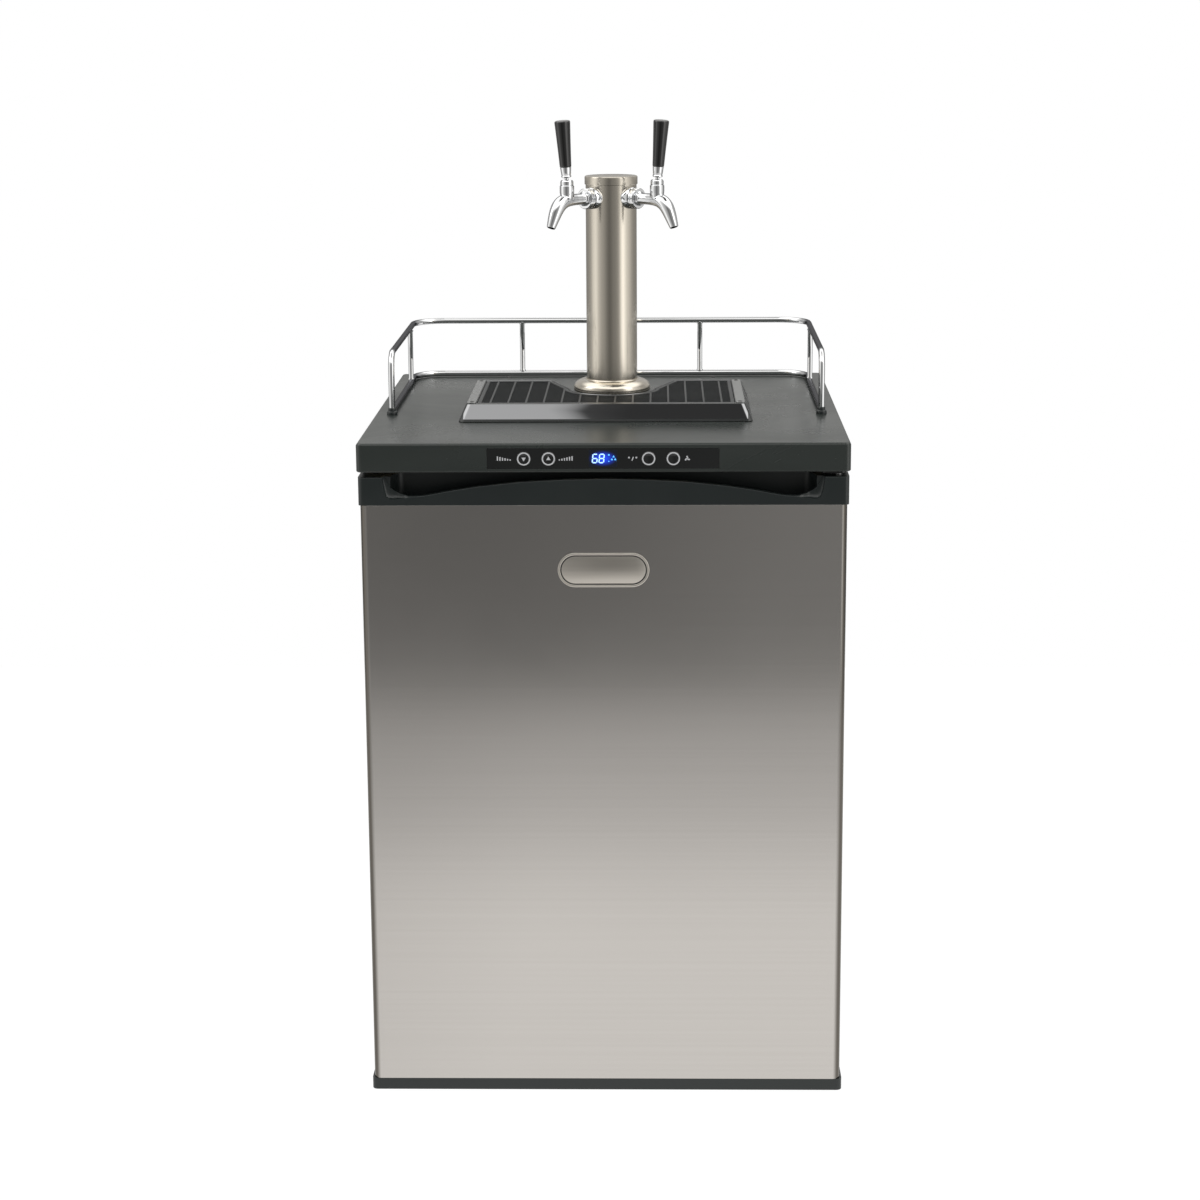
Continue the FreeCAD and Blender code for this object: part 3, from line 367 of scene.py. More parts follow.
def glow_window():
    material, tree, shader = start_material("display_glass", Roughness=0.10, Coat_Weight=0.5,
                                            Emission_Strength=1.0)
    place = add(tree, "ShaderNodeTexCoord").outputs["Object"]
    offset = add(tree, "ShaderNodeVectorMath", {0: place, 1: tuple(display_middle)},
                 operation="SUBTRACT").outputs[0]
    squeezed = add(tree, "ShaderNodeVectorMath", {0: offset, 1: (62.0, 0.0, 110.0)},
                   operation="MULTIPLY").outputs[0]
    distance = add(tree, "ShaderNodeVectorMath", {0: squeezed}, operation="LENGTH").outputs["Value"]
    glow = add(tree, "ShaderNodeMapRange", {"Value": distance, "From Min": 1.15, "From Max": 0.1},
               interpolation_type="SMOOTHSTEP").outputs["Result"]
    tree.links.new(color_mix(tree, glow, (0.0, 0.001, 0.006), (0.005, 0.05, 0.85)),
                   shader.inputs["Emission Color"])
    # Painted glow: the window's base colour is bluer where the glow is.
    tree.links.new(color_mix(tree, glow, (0.004, 0.006, 0.010), (0.01, 0.03, 0.12)),
                   shader.inputs["Base Color"])
    return material


def lit_print(name, color, strength, dull):
    material, tree, shader = start_material(name, Roughness=0.4, Emission_Strength=strength)
    grain = use_group(tree, GRAIN, Cell_size_mm=0.6)
    tree.links.new(color_mix(tree, grain["Height"], dull, color), shader.inputs["Base Color"])
    tree.links.new(color_mix(tree, grain["Height"], dull, color), shader.inputs["Emission Color"])
    return material


display_glass = glow_window()
digit_light = lit_print("digit_light", (0.40, 0.62, 1.0), 1.5, (0.30, 0.52, 1.0))
symbol_light = lit_print("symbol_light", (0.10, 0.45, 1.0), 1.1, (0.08, 0.38, 0.9))
# Pale print with a faint emission: a painted glow on the key rings and symbols.
pale_print = lit_print("pale_print", (0.55, 0.56, 0.58), 0.12, (0.44, 0.45, 0.47))
print("materials:", len(bpy.data.materials))

# %% [markdown]
# ## Mesh helpers
# Most parts are either turned on a lathe, drawn through a die along a path, or cut from a block
# and eased at the edges. Three helpers cover these: `lathe`, `drawn_tube` and `eased_copy`.

# %% Turn a mesh into a finished piece
def set_smooth(mesh, angle_deg):
    for face in mesh.polygons:
        face.use_smooth = True
    mesh.set_sharp_from_angle(angle=math.radians(angle_deg))


def mesh_piece(name, bm, angle_deg=35.0):
    """Close a bmesh into an object with outward normals and crisp corners."""
    bmesh.ops.remove_doubles(bm, verts=bm.verts, dist=1e-7)
    bmesh.ops.recalc_face_normals(bm, faces=bm.faces)
    mesh = bpy.data.meshes.new(name)
    bm.to_mesh(mesh)
    bm.free()
    set_smooth(mesh, angle_deg)
    made = bpy.data.objects.new(name, mesh)
    bpy.context.scene.collection.objects.link(made)
    return made


def paint(piece, *materials):
    piece.data.materials.clear()
    for material in materials:
        piece.data.materials.append(material)
    return piece


def fit_piece(piece, node, material, extra_nodes=()):
    """Ride a piece on its node's body and let it stand for the node."""
    paint(piece, material)
    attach(piece, BODY_OF[node])
    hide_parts(node, *extra_nodes)
    return piece


def detail_piece(piece, node, material):
    """Ride an added detail on a node's body."""
    paint(piece, material)
    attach(piece, BODY_OF[node])
    return piece


print("bodies:", sorted(set(BODY_OF.values())))

# %% Ease the edges of a block
def ease_edges(piece, width_mm, segments=2, angle_deg=38.0):
    """A small bevel with face-weighted normals, so edges catch a line of light."""
    bevel = piece.modifiers.new("eased", "BEVEL")
    bevel.width = width_mm * MM
    bevel.segments = segments
    bevel.limit_method = "ANGLE"
    bevel.angle_limit = math.radians(angle_deg)
    bevel.use_clamp_overlap = True
    bevel.harden_normals = True
    return piece


def eased_copy(node, material, width_mm=0.5, segments=2):
    """A merged copy of a frame node with its flat faces cleaned and its edges eased."""
    bm = bmesh.new()
    bm.from_mesh(frame["nodes"][node].data)
    bmesh.ops.remove_doubles(bm, verts=bm.verts, dist=2e-6)
    bmesh.ops.dissolve_limit(bm, angle_limit=math.radians(0.6), verts=bm.verts, edges=bm.edges)
    made = mesh_piece(node + "_finish", bm)
    fit_piece(made, node, material)
    if width_mm:
        ease_edges(made, width_mm, segments)
    return made


print("edge helpers ready")

# %% Lathe
def soften(profile, radius, steps=4):
    """Round the inner points of an open outline with short curves."""
    points = [Vector((r, z)) for r, z in profile]
    softened = [points[0]]
    for before, corner, after in zip(points, points[1:], points[2:]):
        reach = min(radius, (before - corner).length / 2.05, (after - corner).length / 2.05)
        start = corner + (before - corner).normalized() * reach
        end = corner + (after - corner).normalized() * reach
        for i in range(steps + 1):
            t = i / steps
            softened.append(start * (1 - t) ** 2 + corner * 2 * t * (1 - t) + end * t * t)
    softened.append(points[-1])
    return softened


def lathe(name, profile, soft=0.0, steps=64, angle_deg=35.0):
    """Turn an outline of (radius, height) in millimetres about Z."""
    points = soften(profile, soft) if soft else [Vector(p) for p in profile]
    bm = bmesh.new()
    rings = []
    for r, z in points:
        ring = []
        for i in range(steps):
            turn = 2 * math.pi * i / steps
            ring.append(bm.verts.new((r * MM * math.cos(turn), r * MM * math.sin(turn), z * MM)))
        rings.append(ring)
    for low, high in zip(rings, rings[1:]):
        for i in range(steps):
            j = (i + 1) % steps
            bm.faces.new((low[i], low[j], high[j], high[i]))
    return mesh_piece(name, bm, angle_deg)


def placed(piece, matrix):
    piece.data.transform(matrix)
    piece.data.update()
    return piece


print("lathe ready")

# %% Paths with bends
def bent_path(corners, radii, steps=9):
    """Straight runs joined by tangent arcs, as a tube bender makes them."""
    path = [corners[0]]
    for before, corner, after, radius in zip(corners, corners[1:], corners[2:], radii):
        back = (before - corner).normalized()
        ahead = (after - corner).normalized()
        half = back.angle(ahead) / 2
        centre = corner + (back + ahead).normalized() * (radius / math.sin(half))
        first = corner + back * (radius / math.tan(half)) - centre
        last = corner + ahead * (radius / math.tan(half)) - centre
        path.extend(centre + first.slerp(last, i / steps).normalized() * radius
                    for i in range(steps + 1))
    path.append(corners[-1])
    return path


def drawn_tube(name, path, radius, sides=20, closed=False):
    """Sweep a round section along a path and cap its ends."""
    curve = bpy.data.curves.new(name, "CURVE")
    curve.dimensions = "3D"
    curve.bevel_depth = radius
    curve.bevel_resolution = sides // 4
    curve.use_fill_caps = not closed
    spline = curve.splines.new("POLY")
    spline.points.add(len(path) - 1)
    for point, place in zip(spline.points, path):
        point.co = (*place, 1.0)
    spline.use_cyclic_u = closed
    holder = bpy.data.objects.new(name + "_path", curve)
    bpy.context.scene.collection.objects.link(holder)
    shape = holder.evaluated_get(bpy.context.evaluated_depsgraph_get())
    bm = bmesh.new()
    bm.from_mesh(bpy.data.meshes.new_from_object(shape))
    bpy.data.objects.remove(holder)
    return mesh_piece(name, bm)


print("path helpers ready")

# %% [markdown]
# ## The cabinet
# Folded sheet panels, a vacuum-formed liner and the machine parts keep the frame's shapes. They
# only need clean faces, eased edges and their finish, so each is a merged and bevelled copy.

# %% Cabinet parts
CABINET_FINISH = {
    "side_panel_left": (cabinet_paint, 0.5), "side_panel_right": (cabinet_paint, 0.5),
    "back_panel": (zinc_sheet, 0.0), "base_plate": (zinc_sheet, 0.5),
    "top_plate": (zinc_sheet, 0.3), "inner_liner": (liner_plastic, 0.8),
    "cabinet_foam": (foam_cream, 0.0), "keg_floor_plate": (steel_bright, 0.5),
    "evaporator_plate": (plate_aluminium, 0.8), "fan_housing": (liner_plastic, 0.8),
    "fan_impeller": (trim_plastic, 0.2), "compressor": (cabinet_paint, 0.8),
    "compressor_mounts": (rubber_black, 0.8), "gas_line_grommet": (rubber_black, 0.6),
    "power_inlet": (trim_plastic, 0.4), "levelling_feet": (rubber_black, 0.5),
    "lid_insulation": (foam_cream, 0.0), "control_board": (circuit_board, 0.0),
    "hinge_bracket_top": (bracket_steel, 0.4), "hinge_bracket_bottom": (bracket_steel, 0.4),
    "hinge_pins": (steel_bright, 0.3), "tower_insulation": (foam_cream, 0.0),
    "door_foam": (foam_cream, 0.0),
}
for node, (material, width) in CABINET_FINISH.items():
    eased_copy(node, material, width)
print("cabinet parts:", len(CABINET_FINISH))

# %% [markdown]
# ## The worktop and the door
# The worktop is one moulding with soft edges, and the door is a folded steel skin between two
# black end caps. The caps' edges are a little rounder than the steel's.

# %% Worktop and door
eased_copy("lid", worktop_plastic, 0.5)
eased_copy("control_bezel", panel_gloss, 0.3)
eased_copy("door_skin", door_steel, 0.3)
eased_copy("door_liner", liner_plastic, 1.5, 3)
eased_copy("door_bottom_cap", trim_plastic, 1.3, 3)
print("worktop and door dressed")

# %% [markdown]
# ## Finger recess
# The door has no handle. Its top cap has a trough behind a wavy lip: the lip is high in the
# middle and dips near each end, where its front is dished so that fingers find the edge. The cap
# is drawn section by section along its length. Every section has the same number of points, so
# they join into one closed skin, and three short tables say how the lip and the dish run.

# %% Lip and dish tables
top_cap_low, top_cap_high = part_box("door_top_cap")
CAP_TOP, CAP_FLOOR = top_cap_high.z / MM, top_cap_low.z / MM
CAP_FRONT, CAP_BACK = top_cap_low.y / MM, top_cap_high.y / MM
CAP_HALF, CAP_CORNER = top_cap_high.x / MM, 6.0
TROUGH_HALF, TROUGH_CORNER, TROUGH_FLOOR = 262.0, 15.0, 789.0
TROUGH_FRONT, TROUGH_BACK = CAP_FRONT + 8.0, CAP_BACK - 5.0
LIP_HEIGHT = [(0, 815.2), (50, 814.2), (102, 811.4), (151.5, 806.2), (188.5, 800.6), (212, 796.0),
              (228, 793.8), (240, 794.0), (250, 796.6), (257.5, 800.2), (262.5, 804.6),
              (265.8, 809.4), (268.0, 814.0), (270.0, 817.4), (302, 817.4)]
DISH_FOOT = [(0, 814.2), (50, 813.2), (102, 810.4), (151.5, 805.2), (188.5, 799.6), (212, 795.0),
             (228, 792.8), (237, 792.6), (248, 791.2), (257, 789.9), (263, 790.3), (267, 793.0),
             (269.5, 800.0), (272.0, 816.4), (302, 816.4)]


def read_table(points, x):
    """The value at x on straight lines between the table's points."""
    for (x0, v0), (x1, v1) in zip(points, points[1:]):
        if x <= x1:
            return v0 + (v1 - v0) * (x - x0) / (x1 - x0)
    return points[-1][1]


print("lip stations:", len(LIP_HEIGHT))

# %% Sections of the top cap
def lip_edge(front, lip, foot, steps=6):
    """From the front face up to the lip: a small round, or a hollow where the dish is deep."""
    height = lip - foot
    depth = min(0.75 * height, 6.0) if height > 1.2 else 1.0
    hollow = min(max((height - 1.2) / 3.0, 0.0), 1.0)
    points = []
    for i in range(steps + 1):
        turn = math.pi / 2 * i / steps
        across = (1 - math.cos(turn)) * (1 - hollow) + math.sin(turn) * hollow
        up = math.sin(turn) * (1 - hollow) + (1 - math.cos(turn)) * hollow
        points.append((front + depth * across, foot + height * up))
    return points


def cap_section(x):
    side = abs(x)
    bulge = min(max(side - (CAP_HALF - CAP_CORNER), 0.0), CAP_CORNER)
    front = CAP_FRONT + CAP_CORNER - math.sqrt(CAP_CORNER ** 2 - bulge ** 2)
    lip, foot = read_table(LIP_HEIGHT, side), read_table(DISH_FOOT, side)
    past_corner = max(side - (TROUGH_HALF - TROUGH_CORNER), 0.0) / TROUGH_CORNER
    if side < TROUGH_HALF:
        back = TROUGH_FRONT + (TROUGH_BACK - TROUGH_FRONT) * math.sqrt(1 - past_corner ** 2)
        floor = TROUGH_FLOOR
    else:
        back, floor = TROUGH_FRONT, lip
    return ([(CAP_BACK, CAP_FLOOR), (front, CAP_FLOOR)] + lip_edge(front, lip, foot)
            + [(TROUGH_FRONT, lip), (TROUGH_FRONT, floor), (back, floor), (back, CAP_TOP),
               (CAP_BACK, CAP_TOP)])


def cap_stations():
    half = [8.0 * i for i in range(30)] + [237 + 1.25 * i for i in range(20)]
    half += [TROUGH_HALF - 0.01, TROUGH_HALF + 0.01] + [263 + 0.75 * i for i in range(13)]
    half += [280, 288] + [CAP_HALF - CAP_CORNER + CAP_CORNER * math.sin(math.radians(15 * i))
                          for i in range(7)]
    half = sorted(set(half))
    return [-x for x in reversed(half) if x > 0] + half


def loft(name, stations, section):
    """Join the sections at each x into one closed skin."""
    bm = bmesh.new()
    rings = [[bm.verts.new((x * MM, y * MM, z * MM)) for y, z in section(x)] for x in stations]
    count = len(rings[0])
    for ring, after in zip(rings, rings[1:]):
        for i in range(count):
            j = (i + 1) % count
            bm.faces.new((ring[i], ring[j], after[j], after[i]))
    bm.faces.new(rings[0])
    bm.faces.new(rings[-1])
    bmesh.ops.remove_doubles(bm, verts=bm.verts, dist=3e-6)
    bmesh.ops.dissolve_degenerate(bm, dist=1e-6, edges=bm.edges)
    return mesh_piece(name, bm, 40.0)


top_cap = loft("door_top_cap_finish", cap_stations(), cap_section)
fit_piece(top_cap, "door_top_cap", trim_plastic)
print("top cap faces:", len(top_cap.data.polygons))

# %% [markdown]
# ## Door seal
# The magnetic seal is an extruded vinyl bellows that runs round the door and is welded at the
# corners. Its section is drawn once and swept round a rounded rectangle: a flat foot in the
# liner's groove, a pinched neck and a wide magnet pocket.

# %% Bellows seal
def rounded_loop(half_x, low_z, high_z, radius, steps=6):
    """Points round a rectangle in the XZ plane, with the outward direction at each."""
    loop = []
    corners = ((half_x - radius, high_z - radius, 0), (-half_x + radius, high_z - radius, 90),
               (-half_x + radius, low_z + radius, 180), (half_x - radius, low_z + radius, 270))
    for cx, cz, start in corners:
        for i in range(steps + 1):
            turn = math.radians(start + 90 * i / steps)
            outward = Vector((math.cos(turn), 0, math.sin(turn)))
            loop.append((Vector((cx, 0, cz)) + outward * radius, outward))
    return loop


def swept_section(name, loop, section, y):
    """Carry a section of (outward, depth) points round a loop."""
    bm = bmesh.new()
    rings = [[bm.verts.new(place + outward * a + Vector((0, y + b, 0))) for a, b in section]
             for place, outward in loop]
    count = len(section)
    for ring, after in zip(rings, rings[1:] + rings[:1]):
        for i in range(count):
            j = (i + 1) % count
            bm.faces.new((ring[i], ring[j], after[j], after[i]))
    return mesh_piece(name, bm)


gasket_low, gasket_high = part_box("door_gasket")
GASKET_HALF_WIDTH = 8.5 * MM
gasket_depth = gasket_high.y - gasket_low.y
bellows = [(-1.0, 0.0), (1.0, 0.0), (1.0, 0.16), (0.72, 0.30), (0.94, 0.46), (0.94, 0.86), (0.80, 1.0),
           (-0.80, 1.0), (-0.94, 0.86), (-0.94, 0.46), (-0.72, 0.30), (-1.0, 0.16)]
section = [(a * GASKET_HALF_WIDTH, b * gasket_depth) for a, b in bellows]
seal_loop = rounded_loop(gasket_high.x - GASKET_HALF_WIDTH, gasket_low.z + GASKET_HALF_WIDTH,
                         gasket_high.z - GASKET_HALF_WIDTH, 6 * MM)
seal = swept_section("door_seal", seal_loop, section, gasket_low.y)
fit_piece(seal, "door_gasket", rubber_black)
print("seal section points:", len(section))

# %% [markdown]
# ## Badge
# The door carries a blank oval plate: a bright raised rim, a dark groove and a satin field. The
# outline is two half circles joined by straight sides, so one function gives it at any inset.

# %% Oval badge
badge_low, badge_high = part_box("door_badge")
badge_middle = (badge_low + badge_high) / 2
badge_radius = (badge_high.z - badge_low.z) / 2
badge_straight = (badge_high.x - badge_low.x) / 2 - badge_radius


def oval(inset, y, steps=20):
    """Points of the oval, inset from its rim, at depth y."""
    radius = badge_radius - inset
    points = []
    for end, start in ((1, -90), (-1, 90)):
        for i in range(steps + 1):
            turn = math.radians(start + 180 * i / steps)
            points.append((badge_middle.x + end * badge_straight + radius * math.cos(turn), y,
                           badge_middle.z + radius * math.sin(turn)))
    return points


def oval_plate(name, outlines):
    """Stack oval outlines of (inset, depth) in millimetres into one closed plate."""
    bm = bmesh.new()
    rings = [[bm.verts.new(p) for p in oval(inset * MM, badge_high.y - rise * MM)]
             for inset, rise in outlines]
    for ring, after in zip(rings, rings[1:]):
        for i in range(len(ring)):
            j = (i + 1) % len(ring)
            bm.faces.new((ring[i], ring[j], after[j], after[i]))
    bm.faces.new(rings[0])
    bm.faces.new(rings[-1])
    return mesh_piece(name, bm, 50.0)


badge_dark = oval_plate("badge_groove", [(0.2, 0.0), (0.2, 0.7)])
badge_field = oval_plate("badge_field", [(4.6, 0.6), (4.6, 1.1), (5.0, 1.3)])
fit_piece(badge_dark, "door_badge", bracket_steel)
detail_piece(badge_field, "door_badge", badge_champagne)


def oval_ring(name, outer_mm, inner_mm, rise_mm):
    bm = bmesh.new()
    mid = (outer_mm + inner_mm) / 2
    outlines = [(outer_mm, 0.3), (outer_mm, rise_mm - 0.4), (outer_mm + 0.5, rise_mm),
                (mid, rise_mm + 0.05), (inner_mm - 0.5, rise_mm), (inner_mm, rise_mm - 0.4),
                (inner_mm, 0.3)]
    rings = [[bm.verts.new(p) for p in oval(inset * MM, badge_high.y - rise * MM)]
             for inset, rise in outlines]
    for ring, after in zip(rings, rings[1:] + rings[:1]):
        for i in range(len(ring)):
            j = (i + 1) % len(ring)
            bm.faces.new((ring[i], ring[j], after[j], after[i]))
    return mesh_piece(name, bm, 50.0)


detail_piece(oval_ring("badge_rim", 0.0, 2.8, 1.9), "door_badge", badge_champagne)
print("badge", [round(v / MM) for v in (badge_high - badge_low)], "mm")

# %% [markdown]
# ## Control panel
# Four round keys with a pale ring, a lit display with two digits, and a few plain symbols in
# place of words. The digits are seven-segment bars, so any number is a choice of bars.

# %% Keys
PANEL_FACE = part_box("control_bezel")[0].y
FACE_TURN = Matrix.Rotation(math.radians(90), 4, "X")      # a lathe's +Z becomes the panel's -Y
for number in range(1, 5):
    node = "button_%d" % number
    low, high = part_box(node)
    middle = (low + high) / 2
    cap = lathe(node + "_cap", [(0, -7), (8.8, -7), (8.8, -0.5), (8.2, -0.02), (6.6, -0.12),
                                (5.4, -0.5), (0, -0.62)], steps=72)
    stem = lathe(node + "_stem", [(0, -9.2), (3.0, -9.2), (3.0, -6.9), (0, -6.9)], steps=24)
    ring = lathe(node + "_ring", [(6.5, -0.3), (6.5, -0.04), (6.7, 0.0), (8.0, 0.0), (8.2, -0.08),
                                  (8.2, -0.4), (6.5, -0.4)], steps=72)
    spot = Matrix.Translation((middle.x, low.y, middle.z)) @ FACE_TURN
    for piece in (cap, stem, ring):
        placed(piece, spot)
    fit_piece(cap, node, panel_gloss)
    detail_piece(stem, node, panel_gloss)
    detail_piece(ring, node, pale_print)
    print(node, "at", round(middle.x / MM, 1), "mm")

# %% Flat marks on the panel
MARK_RISE = 0.08 * MM


def flat_mark(name, outlines, y, thick=0.12 * MM):
    """Thin raised print: each outline is a list of (x, z) corners in metres."""
    bm = bmesh.new()
    for corners in outlines:
        front = [bm.verts.new((x, y - MARK_RISE, z)) for x, z in corners]
        back = [bm.verts.new((x, y - MARK_RISE + thick, z)) for x, z in corners]
        bm.faces.new(front)
        bm.faces.new(list(reversed(back)))
        for i in range(len(corners)):
            j = (i + 1) % len(corners)
            bm.faces.new((front[i], back[i], back[j], front[j]))
    return mesh_piece(name, bm)


def bar(x, z, width, height, turn_deg=0.0):
    """A rectangle about (x, z), turned in its plane; sizes in millimetres."""
    c, s = math.cos(math.radians(turn_deg)), math.sin(math.radians(turn_deg))
    corners = ((-1, -1), (1, -1), (1, 1), (-1, 1))
    return [(x + (a * width / 2 * c - b * height / 2 * s) * MM,
             z + (a * width / 2 * s + b * height / 2 * c) * MM) for a, b in corners]


def polygon(x, z, radius, sides, turn_deg=0.0):
    steps = [math.radians(turn_deg + 360 * i / sides) for i in range(sides)]
    return [(x + radius * MM * math.cos(t), z + radius * MM * math.sin(t)) for t in steps]


print("mark helpers ready")

# %% Digits of the display
SEGMENTS = {"6": "acdefg", "8": "abcdefg"}
DIGIT_WIDTH, DIGIT_HEIGHT, STROKE = 5.6, 10.4, 1.35


def digit(character, x, z):
    """Seven bars named a to g, clockwise from the top, g in the middle."""
    half_w, half_h = DIGIT_WIDTH / 2, DIGIT_HEIGHT / 2
    across, upright = DIGIT_WIDTH - STROKE, half_h - STROKE * 0.6
    spots = {"a": (0, half_h, across, STROKE), "b": (half_w, half_h / 2, STROKE, upright),
             "c": (half_w, -half_h / 2, STROKE, upright), "d": (0, -half_h, across, STROKE),
             "e": (-half_w, -half_h / 2, STROKE, upright),
             "f": (-half_w, half_h / 2, STROKE, upright), "g": (0, 0, across, STROKE)}
    lean = 0.10
    bars = []
    for name in SEGMENTS[character]:
        dx, dz, width, height = spots[name]
        bars.append([(px + (pz - z) * lean, pz)
                     for px, pz in bar(x + dx * MM, z + dz * MM, width, height)])
    return bars


DISPLAY_FACE = display_low.y
readout = digit("6", display_middle.x - 9.8 * MM, display_middle.z)
readout += digit("8", display_middle.x - 1.6 * MM, display_middle.z)
detail_piece(flat_mark("display_digits", readout, DISPLAY_FACE), "display_window", digit_light)
symbols = [bar(display_middle.x + 7.2 * MM, display_middle.z + 4.4 * MM, 1.8, 1.8)]
symbols += [polygon(display_middle.x + 13.0 * MM, display_middle.z + dz * MM, 1.7, 3, 90)
            for dz in (2.2,)]
symbols += [polygon(display_middle.x + (13.0 + dx) * MM, display_middle.z - 1.2 * MM, 1.7, 3, 90)
            for dx in (-2.0, 2.0)]
symbols += [bar(display_middle.x + 7.2 * MM, display_middle.z - 3.6 * MM, 1.2, 1.2, 45)]
detail_piece(flat_mark("display_symbols", symbols, DISPLAY_FACE), "display_window", symbol_light)
eased_copy("display_window", display_glass, 0.1)
print("display digits and", len(symbols), "symbols")

# %% Symbols beside and on the keys
key_places = [(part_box("button_%d" % n)[0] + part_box("button_%d" % n)[1]) / 2 for n in range(1, 5)]
KEY_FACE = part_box("button_1")[0].y


def level_marks(x0, count, rising):
    """A row of bars that grow or shrink, for warmer and cooler."""
    z = key_places[0].z
    marks = []
    for i in range(count):
        step = i if rising else count - 1 - i
        height = 1.6 + step * 0.75
        marks.append(bar(x0 + i * 3.1 * MM, z - (4.2 - height) / 2 * MM, 1.5, height))
    return marks


def fan_mark(x, z):
    """Three blades round a hub."""
    blades = [bar(x + 1.9 * MM * math.cos(math.radians(a)), z + 1.9 * MM * math.sin(math.radians(a)),
                  3.0, 1.7, a + 25) for a in (90, 210, 330)]
    return blades + [polygon(x, z, 0.7, 12)]


legend = level_marks(key_places[0].x - 32.0 * MM, 6, False)
legend += level_marks(key_places[1].x + 13.5 * MM, 6, True)
legend += [polygon(key_places[2].x - 24.0 * MM, key_places[2].z + 1.4 * MM, 1.1, 12),
           bar(key_places[2].x - 19.5 * MM, key_places[2].z, 1.2, 5.0, -20),
           polygon(key_places[2].x - 15.0 * MM, key_places[2].z + 1.4 * MM, 1.1, 12)]
legend += fan_mark(key_places[3].x + 17.0 * MM, key_places[3].z)
detail_piece(flat_mark("panel_legend", legend, PANEL_FACE), "control_bezel", pale_print)
arrow_face = KEY_FACE + 0.62 * MM
for place, node, turn in ((key_places[0], "button_1", 270), (key_places[1], "button_2", 90)):
    arrow = flat_mark(node + "_arrow", [polygon(place.x, place.z, 3.1, 3, turn)], arrow_face,
                      0.4 * MM)
    detail_piece(arrow, node, pale_print)
print("legend marks:", len(legend))

# %% [markdown]
# ## Tower
# The tower is a plain drawn tube with a pressed flange at its foot and a shallow cap. All three
# are turned about the same axis, which the frame gives, so the lathe makes them with a true
# round and softened lips.

# %% Tower
tube_low, tube_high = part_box("tower_tube")
flange_low, flange_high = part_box("tower_flange")
cap_low, cap_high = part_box("tower_cap")
tower_axis = Vector(((tube_low.x + tube_high.x) / 2, (tube_low.y + tube_high.y) / 2, 0))
tube_r = (tube_high.x - tube_low.x) / 2 / MM
flange_r = (flange_high.x - flange_low.x) / 2 / MM
cap_r = (cap_high.x - cap_low.x) / 2 / MM


def dome(r0, z0, r1, z1, steps=10):
    """A quarter oval from (r0, z0) up and in to (r1, z1)."""
    turns = [math.pi / 2 * i / steps for i in range(steps + 1)]
    return [(r1 + (r0 - r1) * math.cos(t), z0 + (z1 - z0) * math.sin(t)) for t in turns]


def turned(name, profile, node, material, **options):
    piece = lathe(name, profile, **options)
    return fit_piece(placed(piece, Matrix.Translation(tower_axis)), node, material)


z0, z1 = tube_low.z / MM, tube_high.z / MM
turned("tower_tube_finish", [(tube_r - 1.5, z0), (tube_r, z0), (tube_r, z1), (tube_r - 1.5, z1),
                             (tube_r - 1.5, z0)], "tower_tube", tower_steel, steps=128)
z0, z1 = flange_low.z / MM, flange_high.z / MM
flange_profile = [(tube_r + 0.2, z0), (flange_r - 1, z0), (flange_r, z0 + 1)]
flange_profile += dome(flange_r, z0 + 4, tube_r + 2.6, z1 - 1.0, 14)
flange_profile += [(tube_r + 1.8, z1), (tube_r + 0.7, z1), (tube_r + 0.2, z1 - 0.8), (tube_r + 0.2, z0)]
turned("tower_flange_finish", flange_profile, "tower_flange", tower_steel, steps=128)
z0, z1 = cap_low.z / MM, cap_high.z / MM
turned("tower_cap_finish", [(tube_r + 0.1, z0 + 0.3), (cap_r - 0.3, z0), (cap_r, z0 + 0.4),
                            (cap_r, z1 - 1.6), (cap_r - 0.5, z1 - 0.5), (cap_r - 1.6, z1),
                            (0, z1), (0, z1 - 3), (tube_r + 0.1, z1 - 3),
                            (tube_r + 0.1, z0 + 0.3)],
       "tower_cap", tower_steel, steps=128)
print("tower radius", round(tube_r, 2), "mm")

# %% [markdown]
# ## Taps
# Each tap is a plated casting: a barrel from the shank, an upright neck for the lever and a
# spout that curves down and tapers. A casting has no sharp inner corners, so the three solids
# are melted together with a fine voxel remesh and smoothed, and only then is the outlet bored.

# %% Tap frame
shank_low, shank_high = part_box("shanks")
SHANK_Z = (shank_low.z + shank_high.z) / 2


def tap_matrix(side):
    """From a tap's own plane (X outwards from the tower, Z up) to its place."""
    pivot = Vector(JOINTS[side + "_tap"]["pos_m"])
    out = pivot - tower_axis
    return Matrix.Translation(tower_axis) @ Matrix.Rotation(math.atan2(out.y, out.x), 4, "Z")


left_pivot = Vector(JOINTS["left_tap"]["pos_m"])
LEVER_RHO = (Vector((left_pivot.x, left_pivot.y, 0)) - tower_axis).length
LEVER_Z = left_pivot.z
LEVER_LEAN = math.radians(5.4)
ALONG_X = Matrix.Rotation(math.radians(90), 4, "Y")
AT_SHANK = Matrix.Translation((0, 0, SHANK_Z)) @ ALONG_X
print("lever pivot", round(LEVER_RHO / MM, 1), "mm from the axis")

# %% Tap casting
SPOUT_CURVE = [(77.0, 0.0), (99.0, 0.0), (102.0, -12.0), (112.4, -34.2)]
SPOUT_RADII = (8.0, 11.4, 5.6)


def spout_point(t):
    weights = ((1 - t) ** 3, 3 * t * (1 - t) ** 2, 3 * t * t * (1 - t), t ** 3)
    rho = sum(w * p[0] for w, p in zip(weights, SPOUT_CURVE))
    z = sum(w * p[1] for w, p in zip(weights, SPOUT_CURVE))
    return Vector((rho * MM, 0, SHANK_Z + z * MM))


